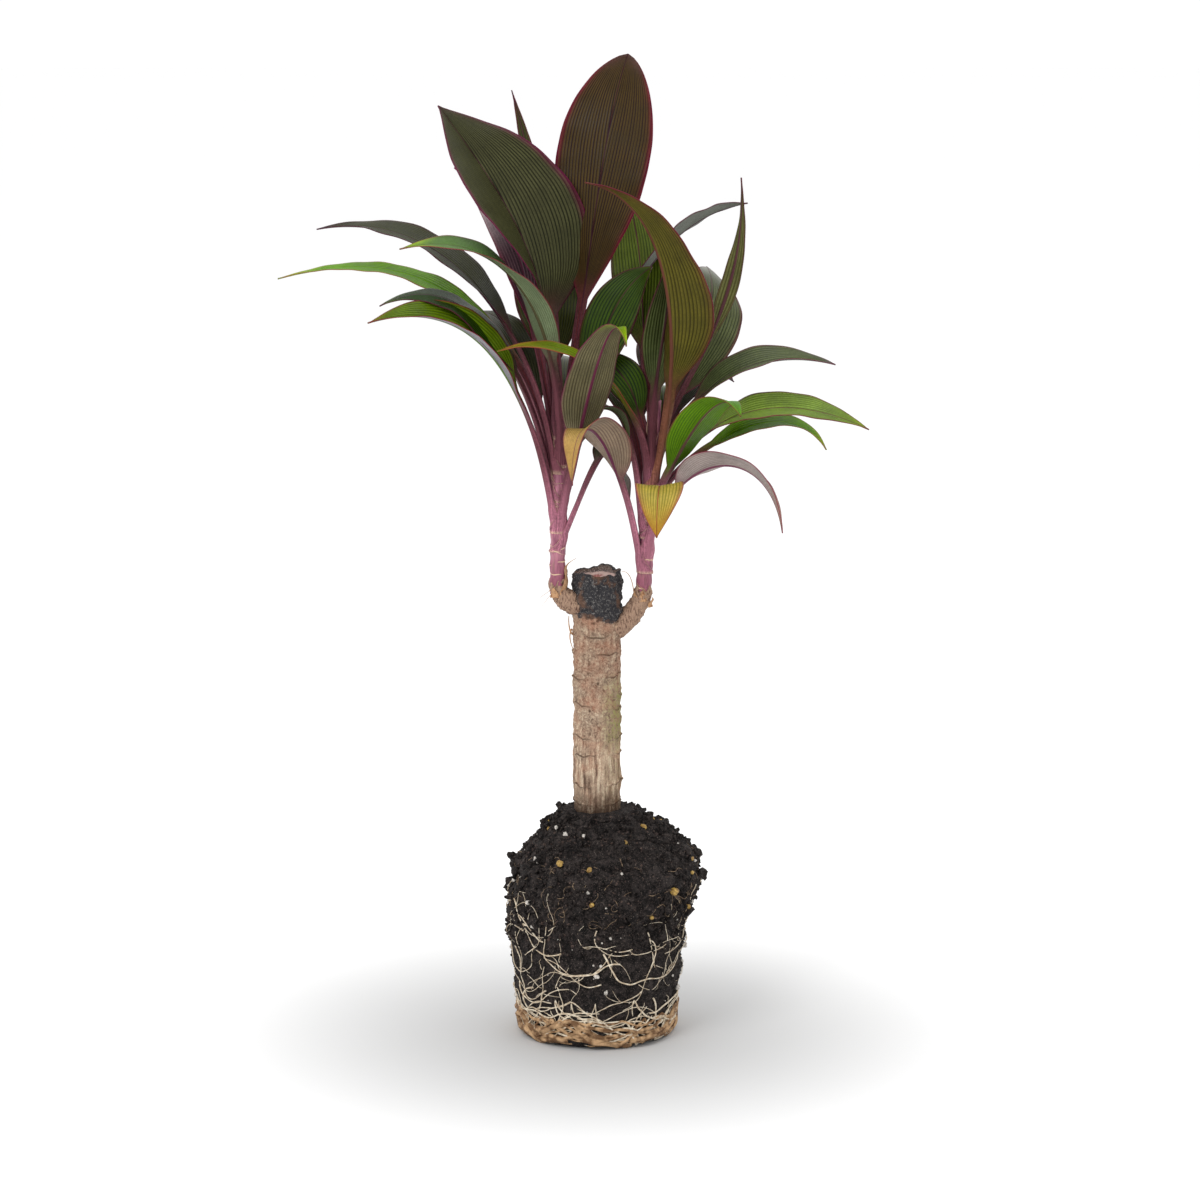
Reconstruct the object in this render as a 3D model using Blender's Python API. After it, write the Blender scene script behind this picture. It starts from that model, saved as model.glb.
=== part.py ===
"""Ti plant: a straight sawn cane on a tapered root ball, with two leafy side shoots.

Metres, +Z up. The origin is the centre of the root ball's flat underside, +X is the right
shoot's side. Sizes in the tables are millimetres and degrees; MM turns them into metres.
"""

import math
from collections import namedtuple

import bpy
import numpy as np

MM = 0.001
GAP = 0.35 * MM  # clear space between neighbouring pieces

# ---- root ball
BALL_FOOT_RADIUS = 50.0 * MM
BALL_RIM_RADIUS = 58.0 * MM
BALL_RIM_HEIGHT = 80.0 * MM
BALL_FOOT_ROUND = 7.0 * MM
BALL_SEGMENTS = 32
CRUMB = 1.3 * MM  # how far the crumbly surface stands in and out
# Half widths of the heap above the rim, in mm: height, towards the left, towards the right.
HEAP = (
    (92, 56, 64),
    (104, 52, 66),
    (113, 52, 66),
    (122, 45, 59),
    (131, 36, 50),
    (140, 29, 33),
    (147, 21, 24),
)

# ---- cane
CANE_RADIUS = 15.0 * MM
SOCKET_GAP = 0.45 * MM
SOCKET_FOOT = 84.0 * MM  # the cane stands in the root ball down to here
SCORCH_FOOT = 268.0 * MM
SCORCH_RADIUS = 16.1 * MM
CUT_TOP = 302.5 * MM
SCAR_HEIGHTS = (163, 181, 194, 213, 233, 247, 259)  # leaf-scar rings round the cane, mm
SCAR_STAND = 0.6 * MM
CANE_SEGMENTS = 20

# ---- leaves
PETIOLE_WIDTH = 5.2 * MM
BLADE_STATIONS = 15
PETIOLE_STATIONS = 5
LEAF_THICKNESS = 0.0102  # share of the leaf's own length
TIP_WIDTH = 1.2 * MM

# ---- shoots, in mm: compass side of the cane and height where the husk leaves it, then
# the elbow, waist and top of the stem as (x, y, z), its radius and the husk's.
Shoot = namedtuple("Shoot", "name side height elbow waist top radius husk")
LEFT = Shoot(
    "shoot_left", 195, 281, (-25.2, -6, 296), (-24.8, -5, 335), (-22.6, -4, 414), 4.9, 7.8
)
RIGHT = Shoot(
    "shoot_right", 356, 272, (29.6, -2, 291), (31.5, -2, 325), (37.4, -1, 414), 5.0, 7.6
)
SHOOT_SEGMENTS = 12

# One row a leaf. foot: height of the petiole's foot. side: compass side of the stem it
# grows on (0 right, 90 back, 180 left, 270 front). lean: lean from upright at the foot,
# held for about push. reach, rise, bearing: where the tip is, seen from the foot. dip:
# lean at the tip (over 90 hangs) towards swing, held for about pull. petiole: its share of
# the length. width: widest blade, at peak of its length. turn, twist: roll of the blade
# about its midrib at the base, and how much more by the tip. fold: how far each half is
# folded up. hook: extra bend of the tip, over the last curl of the leaf.
Leaf = namedtuple(
    "Leaf",
    "name shoot foot side lean push reach rise bearing dip swing pull"
    " petiole width peak turn twist fold hook curl",
)
LEAVES = (
    # left shoot, lowest first
    Leaf("leaf_left_low_right", LEFT, 328, 350, 22, 72, 60, 10, 48, 160, 40, 55,
         0.40, 26, 0.45, 20, 0, 12, 0, 0.2),
    Leaf("leaf_left_front", LEFT, 340, 300, 20, 64, 77, 120, 301, 165, 325, 34,
         0.30, 37, 0.40, 0, 0, 10, 0, 0.2),
    Leaf("leaf_left_low", LEFT, 345, 205, 15, 82, 115, 119, 191, 115, 191, 60,
         0.36, 29, 0.42, 0, 0, 22, 0, 0.2),
    Leaf("leaf_left_inner_right", LEFT, 352, 12, 16, 52, 55, 144, 14, 60, 14, 48,
         0.42, 44, 0.52, 68, 0, 8, 0, 0.2),
    Leaf("leaf_left_back_low", LEFT, 350, 76, 20, 60, 110, 76, 87, 110, 88, 50,
         0.30, 36, 0.45, 0, 0, 8, 0, 0.2),
    Leaf("leaf_left_mid", LEFT, 360, 172, 11, 84, 107, 113, 184, 118, 185, 60,
         0.38, 31, 0.42, -15, 0, -7, 0, 0.2),
    Leaf("leaf_left_far", LEFT, 368, 140, 15, 88, 190, 118, 160, 106, 162, 105,
         0.33, 24, 0.42, 0, 0, 8, 0, 0.2),
    Leaf("leaf_left_back", LEFT, 372, 102, 15, 80, 108, 142, 97, 65, 96, 60,
         0.32, 44, 0.45, 0, 0, 8, 0, 0.2),
    Leaf("leaf_left_back_left", LEFT, 357, 118, 22, 70, 97, 103, 128, 105, 130, 56,
         0.32, 28, 0.42, 0, 0, 8, 0, 0.2),
    Leaf("leaf_left_upper", LEFT, 378, 193, 9, 92, 155, 140, 165, 101, 163, 84,
         0.32, 30, 0.42, 0, 0, 16, 0, 0.2),
    Leaf("leaf_left_arching", LEFT, 382, 245, 3, 75, 105, 133, 199, 120, 198, 55,
         0.36, 26, 0.42, 0, 0, 12, 0, 0.2),
    Leaf("leaf_left_back_right", LEFT, 382, 40, 22, 90, 132, 146, 34, 75, 33, 70,
         0.34, 34, 0.42, 25, 0, 8, 0, 0.2),
    Leaf("leaf_left_behind", LEFT, 388, 155, 12, 80, 79, 168, 139, 60, 150, 70,
         0.32, 25, 0.50, -45, 0, 8, 0, 0.2),
    Leaf("leaf_left_back_tall", LEFT, 392, 95, 14, 80, 98, 212, 110, 40, 112, 80,
         0.32, 18, 0.48, -20, 0, 8, 0, 0.2),
    Leaf("leaf_left_tall", LEFT, 400, 195, 3, 92, 84, 196, 150, 55, 152, 80,
         0.32, 62, 0.45, -34, 0, 26, 0, 0.2),
    Leaf("leaf_left_tallest", LEFT, 402, 51, 14, 100, 70, 226, 56, 42, 66, 62,
         0.34, 58, 0.57, 18, 0, 8, 0, 0.2),
    # right shoot, lowest first
    Leaf("leaf_right_front_left", RIGHT, 314, 205, 10, 82, 91, 56, 244, 165, 242, 66,
         0.38, 25, 0.42, 0, 0, 12, 0, 0.2),
    Leaf("leaf_right_front", RIGHT, 322, 285, 30, 58, 83, 16, 273, 170, 275, 45,
         0.30, 30, 0.50, 0, 0, 6, 0, 0.2),
    Leaf("leaf_right_low", RIGHT, 336, 345, 25, 56, 85, -3, 336, 172, 336, 55,
         0.30, 25, 0.42, 6, 0, 12, 0, 0.2),
    Leaf("leaf_right_low_left", RIGHT, 338, 195, 5, 60, 38, 66, 200, 120, 198, 30,
         0.50, 19, 0.42, 0, 0, 12, 0, 0.2),
    Leaf("leaf_right_front_right", RIGHT, 345, 305, 25, 48, 76, 59, 306, 155, 316, 32,
         0.20, 40, 0.40, 0, 0, 8, 0, 0.2),
    Leaf("leaf_right_lower", RIGHT, 347, 25, 32, 45, 108, 33, 2, 150, 0, 45,
         0.34, 20, 0.42, 0, 0, 12, 0, 0.2),
    Leaf("leaf_right_back_low_left", RIGHT, 352, 122, 20, 60, 92, 60, 103, 115, 102, 50,
         0.30, 32, 0.45, 0, 0, 8, 0, 0.2),
    Leaf("leaf_right_mid", RIGHT, 356, 348, 29, 50, 133, 40, 353, 114, 352, 74,
         0.28, 30, 0.42, 25, 0, 12, 0, 0.2),
    Leaf("leaf_right_back_low", RIGHT, 360, 70, 22, 60, 105, 32, 82, 140, 82, 50,
         0.30, 34, 0.45, 0, 0, 8, 0, 0.2),
    Leaf("leaf_right_back_right", RIGHT, 366, 48, 25, 60, 88, 50, 54, 115, 54, 50,
         0.30, 30, 0.42, 0, 0, 8, 0, 0.2),
    Leaf("leaf_right_tall", RIGHT, 366, 318, 12, 88, 62, 186, 222, 80, 190, 72,
         0.22, 46, 0.45, 0, 0, 8, 0, 0.2),
    Leaf("leaf_right_crossing", RIGHT, 368, 232, 5, 44, 100, 80, 202, 105, 202, 60,
         0.22, 20, 0.35, -30, 0, 8, 0, 0.2),
    Leaf("leaf_right_upper", RIGHT, 374, 12, 18, 50, 112, 60, 5, 105, 4, 60,
         0.28, 28, 0.42, 0, 0, 18, 0, 0.2),
    Leaf("leaf_right_upright", RIGHT, 376, 268, 0, 60, 16, 130, 40, 5, 285, 50,
         0.30, 28, 0.42, 0, 0, -23, 0, 0.2),
    Leaf("leaf_right_back", RIGHT, 378, 95, 25, 60, 118, 70, 80, 90, 82, 60,
         0.28, 36, 0.45, 0, 0, 8, 0, 0.2),
    Leaf("leaf_right_inner_left", RIGHT, 382, 162, 10, 44, 33, 62, 158, 45, 158, 30,
         0.25, 25, 0.50, -60, 0, 8, 0, 0.2),
    Leaf("leaf_right_broad", RIGHT, 386, 45, 32, 58, 88, 104, 69, 75, 100, 60,
         0.20, 46, 0.56, 30, 0, 6, 0, 0.2),
    Leaf("leaf_right_spear", RIGHT, 390, 352, 23, 65, 51, 162, 12, 0, 10, 60,
         0.30, 22, 0.45, 0, 0, 0, 0, 0.2),
    Leaf("leaf_right_back_left", RIGHT, 398, 112, 20, 70, 86, 140, 113, 35, 115, 60,
         0.28, 42, 0.50, -25, 0, 8, 0, 0.2),
)


def bezier(points, t):
    """Points of a cubic Bezier curve at the shares t of its run."""
    a, b, c, d = (np.asarray(p, float) for p in points)
    t = np.asarray(t, float)[:, None]
    s = 1.0 - t
    return a * s**3 + 3.0 * b * s * s * t + 3.0 * c * s * t * t + d * t**3


def heading(lean, bearing):
    """Unit vector leaning from upright towards a compass bearing, both in degrees."""
    lean, bearing = math.radians(lean), math.radians(bearing)
    return np.array(
        (math.sin(lean) * math.cos(bearing), math.sin(lean) * math.sin(bearing), math.cos(lean))
    )


def unit(rows):
    rows = np.asarray(rows, float)
    return rows / np.linalg.norm(rows, axis=-1, keepdims=True)


def ramp(value, low, high):
    """0 below low, 1 above high, and a smooth step between them."""
    t = np.clip((np.asarray(value, float) - low) / (high - low), 0.0, 1.0)
    return t * t * (3.0 - 2.0 * t)


def even_run(line, count_lines):
    """The same line with its points at the given shares of its length."""
    steps = np.linalg.norm(np.diff(line, axis=0), axis=1)
    along = np.concatenate(((0.0,), np.cumsum(steps)))
    wanted = np.asarray(count_lines) * along[-1]
    return np.stack([np.interp(wanted, along, line[:, k]) for k in range(3)], axis=1), along[-1]


def shoot_axis(shoot, t):
    """Stem from the elbow to the shoot's tip."""
    elbow, waist, top = (np.array(p) * MM for p in (shoot.elbow, shoot.waist, shoot.top))
    return bezier((elbow, elbow + (waist - elbow) * 0.9, waist + (top - waist) * 0.3, top), t)


def stem_radius(shoot, height):
    """The stem is even up to its waist and then narrows a little to the shoot's tip."""
    waist, top = shoot.waist[2] * MM, shoot.top[2] * MM
    return shoot.radius * MM * (1.0 - 0.25 * ramp(height, waist, top))


def stem_point(shoot, height):
    """Centre of the shoot's stem at a height."""
    line = shoot_axis(shoot, np.linspace(0.0, 1.0, 60))
    return np.array([np.interp(height, line[:, 2], line[:, k]) for k in range(3)])


def leaf_foot(leaf):
    centre = stem_point(leaf.shoot, leaf.foot * MM)
    out = stem_radius(leaf.shoot, leaf.foot * MM) + GAP + 0.5 * leaf_thickness(leaf)
    return centre + heading(90.0, leaf.side) * out


def leaf_line(leaf, foot, count=80):
    """Midrib of a leaf, evenly spaced, and its length."""
    tip = foot + heading(90.0, leaf.bearing) * leaf.reach * MM + np.array((0, 0, leaf.rise * MM))
    first = foot + heading(leaf.lean, leaf.side) * leaf.push * MM
    last = tip - heading(leaf.dip, leaf.swing) * leaf.pull * MM
    line = bezier((foot, first, last, tip), np.linspace(0.0, 1.0, count))
    return even_run(line, np.linspace(0.0, 1.0, count))


def leaf_thickness(leaf):
    return LEAF_THICKNESS * 1.08 * math.hypot(leaf.reach, leaf.rise) * MM


def leaf_frames(leaf, foot, shares):
    """Midrib points, side vectors and upward normals at shares of the leaf's length."""
    line, length = leaf_line(leaf, foot)
    even = np.linspace(0.0, 1.0, len(line))
    tangent = unit(np.gradient(line, axis=0))
    swing = (leaf.swing - leaf.side + 180.0) % 360.0 - 180.0
    bearing = np.radians(leaf.side + swing * ramp(even, 0.1, 0.9))
    side = np.stack((-np.sin(bearing), np.cos(bearing), 0.0 * bearing), axis=1)
    side = unit(side - tangent * np.sum(side * tangent, axis=1, keepdims=True))
    normal = np.cross(tangent, side)
    roll = leaf.turn * ramp(even, 0.0, leaf.petiole + 0.12)
    roll = np.radians(roll + leaf.twist * ramp(even, leaf.petiole, 1.0))[:, None]
    side, normal = (
        side * np.cos(roll) + normal * np.sin(roll),
        normal * np.cos(roll) - side * np.sin(roll),
    )
    if leaf.hook:
        bend = np.radians(leaf.hook) * ramp(even, 1.0 - leaf.curl, 1.0 - leaf.curl * 0.3)[:, None]
        tangent, normal = (
            tangent * np.cos(bend) - normal * np.sin(bend),
            normal * np.cos(bend) + tangent * np.sin(bend),
        )
        steps = tangent * (length / (len(line) - 1))
        line = line[0] + np.concatenate((np.zeros((1, 3)), np.cumsum(steps[:-1], axis=0)))
    picked = [
        np.stack([np.interp(shares, even, rows[:, k]) for k in range(3)], axis=1)
        for rows in (line, side, normal)
    ]
    return picked[0], unit(picked[1]), unit(picked[2]), length


def blade_width(leaf, shares):
    """Full width at shares of the leaf's length: an even petiole, then the blade."""
    u = np.clip((np.asarray(shares) - leaf.petiole) / (1.0 - leaf.petiole), 0.0, 1.0)
    p, k = leaf.peak, 1.5
    swell = (u / p) ** (p * k) * ((1.0 - u) / (1.0 - p)) ** ((1.0 - p) * k)
    stalk = PETIOLE_WIDTH * (0.65 + 0.35 * ramp(shares, 0.0, 0.12))
    narrow = stalk + (TIP_WIDTH - stalk) * ramp(u, 0.3, 1.0)
    return np.maximum(leaf.width * MM * swell, narrow)


def leaf_shares(leaf):
    stalk = np.linspace(0.0, leaf.petiole, PETIOLE_STATIONS)[:-1]
    u = np.linspace(0.0, 1.0, BLADE_STATIONS)
    u = 0.5 * u + 0.5 * (0.5 - 0.5 * np.cos(math.pi * u))
    return np.concatenate((stalk, leaf.petiole + (1.0 - leaf.petiole) * u))


def leaf_solid(leaf):
    """Vertices and faces of a leaf: six points round each station, closed at both ends."""
    shares = leaf_shares(leaf)
    centre, side, normal, length = leaf_frames(leaf, leaf_foot(leaf), shares)
    half = 0.5 * blade_width(leaf, shares)[:, None]
    u = ramp(shares, leaf.petiole, leaf.petiole + 0.15)
    lift = half * np.tan(np.radians(leaf.fold) * u)[:, None]
    thick = 0.5 * leaf_thickness(leaf)
    rings = []
    for up in (thick, -thick):
        rows = [centre + side * half + normal * (lift + up)]
        rows += [centre + normal * up]
        rows += [centre - side * half + normal * (lift + up)]
        rings += rows if up > 0.0 else rows[::-1]
    verts = np.stack(rings, axis=1).reshape(-1, 3)
    return verts, tube_faces(len(shares), 6)


def tube_faces(rings, around):
    faces = [tuple(range(around))[::-1]]
    for r in range(rings - 1):
        for k in range(around):
            a, b = r * around + k, r * around + (k + 1) % around
            faces.append((a, b, b + around, a + around))
    last = (rings - 1) * around
    faces.append(tuple(range(last, last + around)))
    return faces


def ball_profile(bearing):
    """Root ball outline on one side: (radius, height) from the underside to the heap's top."""
    right = 0.5 + 0.5 * math.cos(bearing)
    foot, turn = BALL_FOOT_RADIUS, BALL_FOOT_ROUND
    profile = []
    for step in range(4):
        angle = math.radians(30.0 * step)
        profile.append((foot - turn * (1.0 - math.sin(angle)), turn * (1.0 - math.cos(angle))))
    for step in range(1, 6):
        share = step / 5.0
        radius = foot + (BALL_RIM_RADIUS - foot) * share
        profile.append((radius, turn + (BALL_RIM_HEIGHT - turn) * share))
    for height, left, far in HEAP:
        profile.append(((left + (far - left) * right) * MM, height * MM))
    return profile


def crumble(bearing, height):
    """In-and-out of the crumbly surface, dying away at the flat underside."""
    z = height / MM
    wave = math.sin(5.0 * bearing + 0.11 * z) * math.sin(0.23 * z + 1.3)
    wave += 0.6 * math.sin(11.0 * bearing - 0.07 * z + 0.8)
    wave += 0.5 * math.sin(3.0 * bearing + 0.31 * z + 2.0)
    return CRUMB * wave * min(z / 30.0, 1.0) * (0.5 + 0.5 * min(z / 90.0, 1.0))


def ball_solid():
    """Tapered root ball with a heap on top and a socket that the cane stands in."""
    verts = []
    for k in range(BALL_SEGMENTS):
        bearing = 2.0 * math.pi * k / BALL_SEGMENTS
        for radius, height in ball_profile(bearing):
            radius += crumble(bearing, height)
            verts.append((radius * math.cos(bearing), radius * math.sin(bearing), height))
        for height in (HEAP[-1][0] * MM, SOCKET_FOOT):
            radius = CANE_RADIUS + SOCKET_GAP
            verts.append((radius * math.cos(bearing), radius * math.sin(bearing), height))
    rows = len(verts) // BALL_SEGMENTS
    faces = []
    for k in range(BALL_SEGMENTS):
        a, b = k * rows, (k + 1) % BALL_SEGMENTS * rows
        for row in range(rows - 1):
            faces.append((a + row, b + row, b + row + 1, a + row + 1))
    faces.append(tuple(k * rows for k in range(BALL_SEGMENTS))[::-1])
    faces.append(tuple(k * rows + rows - 1 for k in range(BALL_SEGMENTS)))
    return np.array(verts), faces


def cane_solid():
    """Round cane with raised leaf-scar rings and a slightly thicker scorched top."""
    stations = [(SOCKET_FOOT + GAP, CANE_RADIUS)]
    for scar in SCAR_HEIGHTS:
        for offset, stand in ((-1.6, 0.0), (0.0, SCAR_STAND), (1.6, 0.0)):
            stations.append(((scar + offset) * MM, CANE_RADIUS + stand))
    stations += [(SCORCH_FOOT - 2.0 * MM, CANE_RADIUS), (SCORCH_FOOT, SCORCH_RADIUS)]
    stations += [(CUT_TOP - 1.5 * MM, SCORCH_RADIUS), (CUT_TOP, SCORCH_RADIUS - 1.5 * MM)]
    verts = []
    for height, radius in stations:
        for k in range(CANE_SEGMENTS):
            bearing = 2.0 * math.pi * k / CANE_SEGMENTS
            verts.append((radius * math.cos(bearing), radius * math.sin(bearing), height))
    return np.array(verts), tube_faces(len(stations), CANE_SEGMENTS)


def shoot_solid(shoot):
    """Husk that bends out of the cane and up, then the pink stem up to the shoot's tip."""
    outward = heading(90.0, shoot.side)
    start = outward * (SCORCH_RADIUS + 0.45 * MM) + np.array((0.0, 0.0, shoot.height * MM))
    elbow = np.array(shoot.elbow) * MM
    bend = bezier(
        (start, start + outward * 6.0 * MM, elbow - np.array((0.0, 0.0, 8.0 * MM)), elbow),
        np.linspace(0.0, 1.0, 6),
    )
    stem = shoot_axis(shoot, np.linspace(0.0, 1.0, 11))
    line = np.concatenate((bend, stem[1:]))
    tangent = unit(np.gradient(line, axis=0))
    tangent[0] = outward
    side = np.cross(outward, (0.0, 0.0, 1.0))
    radius = stem_radius(shoot, line[:, 2])
    swell = 1.0 - ramp(np.arange(len(line)), 0.0, 6.0)
    radius = radius + (shoot.husk * MM - radius) * swell
    radius[-1] *= 0.4
    verts = []
    for centre, ahead, size in zip(line, tangent, radius):
        across = unit(side - ahead * np.dot(side, ahead))
        up = np.cross(across, ahead)
        for k in range(SHOOT_SEGMENTS):
            angle = 2.0 * math.pi * k / SHOOT_SEGMENTS
            verts.append(centre + size * (across * math.cos(angle) - up * math.sin(angle)))
    return np.array(verts), tube_faces(len(line), SHOOT_SEGMENTS)


def material(name, colour, roughness):
    mat = bpy.data.materials.new(name)
    mat.use_nodes = True
    shader = mat.node_tree.nodes["Principled BSDF"]
    shader.inputs["Base Color"].default_value = (*colour, 1.0)
    shader.inputs["Roughness"].default_value = roughness
    return mat


def add_object(name, solid, mat, smooth=False):
    verts, faces = solid
    mesh = bpy.data.meshes.new(name)
    mesh.from_pydata([tuple(v) for v in verts], [], faces)
    mesh.polygons.foreach_set("use_smooth", [smooth] * len(mesh.polygons))
    mesh.materials.append(mat)
    mesh.validate()
    obj = bpy.data.objects.new(name, mesh)
    bpy.context.scene.collection.objects.link(obj)
    return obj


def clear_scene():
    for obj in list(bpy.data.objects):
        bpy.data.objects.remove(obj, do_unlink=True)


def main():
    clear_scene()
    peat = material("damp_peat", (0.03, 0.022, 0.02), 0.95)
    bark = material("cane_bark", (0.33, 0.22, 0.14), 0.85)
    stem = material("pink_stem", (0.35, 0.09, 0.14), 0.5)
    blade = material("leaf_blade", (0.07, 0.09, 0.03), 0.4)
    add_object("root_ball", ball_solid(), peat)
    add_object("cane", cane_solid(), bark, smooth=True)
    add_object(LEFT.name, shoot_solid(LEFT), stem, smooth=True)
    add_object(RIGHT.name, shoot_solid(RIGHT), stem, smooth=True)
    for leaf in LEAVES:
        add_object(leaf.name, leaf_solid(leaf), blade, smooth=True)


if __name__ == "__main__":
    main()
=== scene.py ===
"""Ti plant on its root ball: leaves, shoots, sawn cane, peat and roots over the plain part.

Run it as a script. It is laid out as an add-on, so the sizes and colours can be changed from
the sidebar. Tables are in millimetres and degrees, and MM turns them into metres.
"""

import math
from collections import namedtuple

import bmesh
import bpy
import numpy as np
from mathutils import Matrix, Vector, noise


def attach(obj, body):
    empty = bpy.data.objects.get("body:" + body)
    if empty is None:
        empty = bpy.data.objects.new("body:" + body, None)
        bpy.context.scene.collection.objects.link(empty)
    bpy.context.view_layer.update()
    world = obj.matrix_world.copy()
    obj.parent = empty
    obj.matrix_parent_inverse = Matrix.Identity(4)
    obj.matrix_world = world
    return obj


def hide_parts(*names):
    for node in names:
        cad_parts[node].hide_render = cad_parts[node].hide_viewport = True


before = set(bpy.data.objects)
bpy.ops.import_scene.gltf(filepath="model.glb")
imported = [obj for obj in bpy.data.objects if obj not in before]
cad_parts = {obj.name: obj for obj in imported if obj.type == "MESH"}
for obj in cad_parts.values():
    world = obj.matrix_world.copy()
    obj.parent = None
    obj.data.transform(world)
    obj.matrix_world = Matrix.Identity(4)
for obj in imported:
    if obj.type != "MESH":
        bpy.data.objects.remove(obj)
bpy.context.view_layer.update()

bl_info = {
    "name": "Ti Plant",
    "version": (1, 0, 0),
    "blender": (4, 5, 0),
    "location": "View3D > Sidebar > Ti Plant",
    "description": "Leaves, shoots, cane and root ball of a ti plant",
    "category": "Object",
}

MM = 0.001
GAP = 0.35 * MM  # how far a leaf's foot stands clear of its stem
WELD = 0.01 * MM  # points nearer than this are merged

# ---- shoots: compass side of the cane and height where the husk leaves it, then the elbow,
# waist and top of the stem as (x, y, z), its radius, the husk's and the heights of its rings.
Shoot = namedtuple("Shoot", "name side height elbow waist top radius husk rings")
LEFT = Shoot(
    "shoot_left", 195, 288, (-25.2, -6, 296), (-24.8, -5, 335), (-22.6, -4, 414), 4.9, 6.9,
    (303, 309, 315, 320, 329),
)
RIGHT = Shoot(
    "shoot_right", 356, 272, (29.6, -2, 291), (31.5, -2, 325), (37.4, -1, 414), 5.0, 6.9,
    (291, 312),
)

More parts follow.
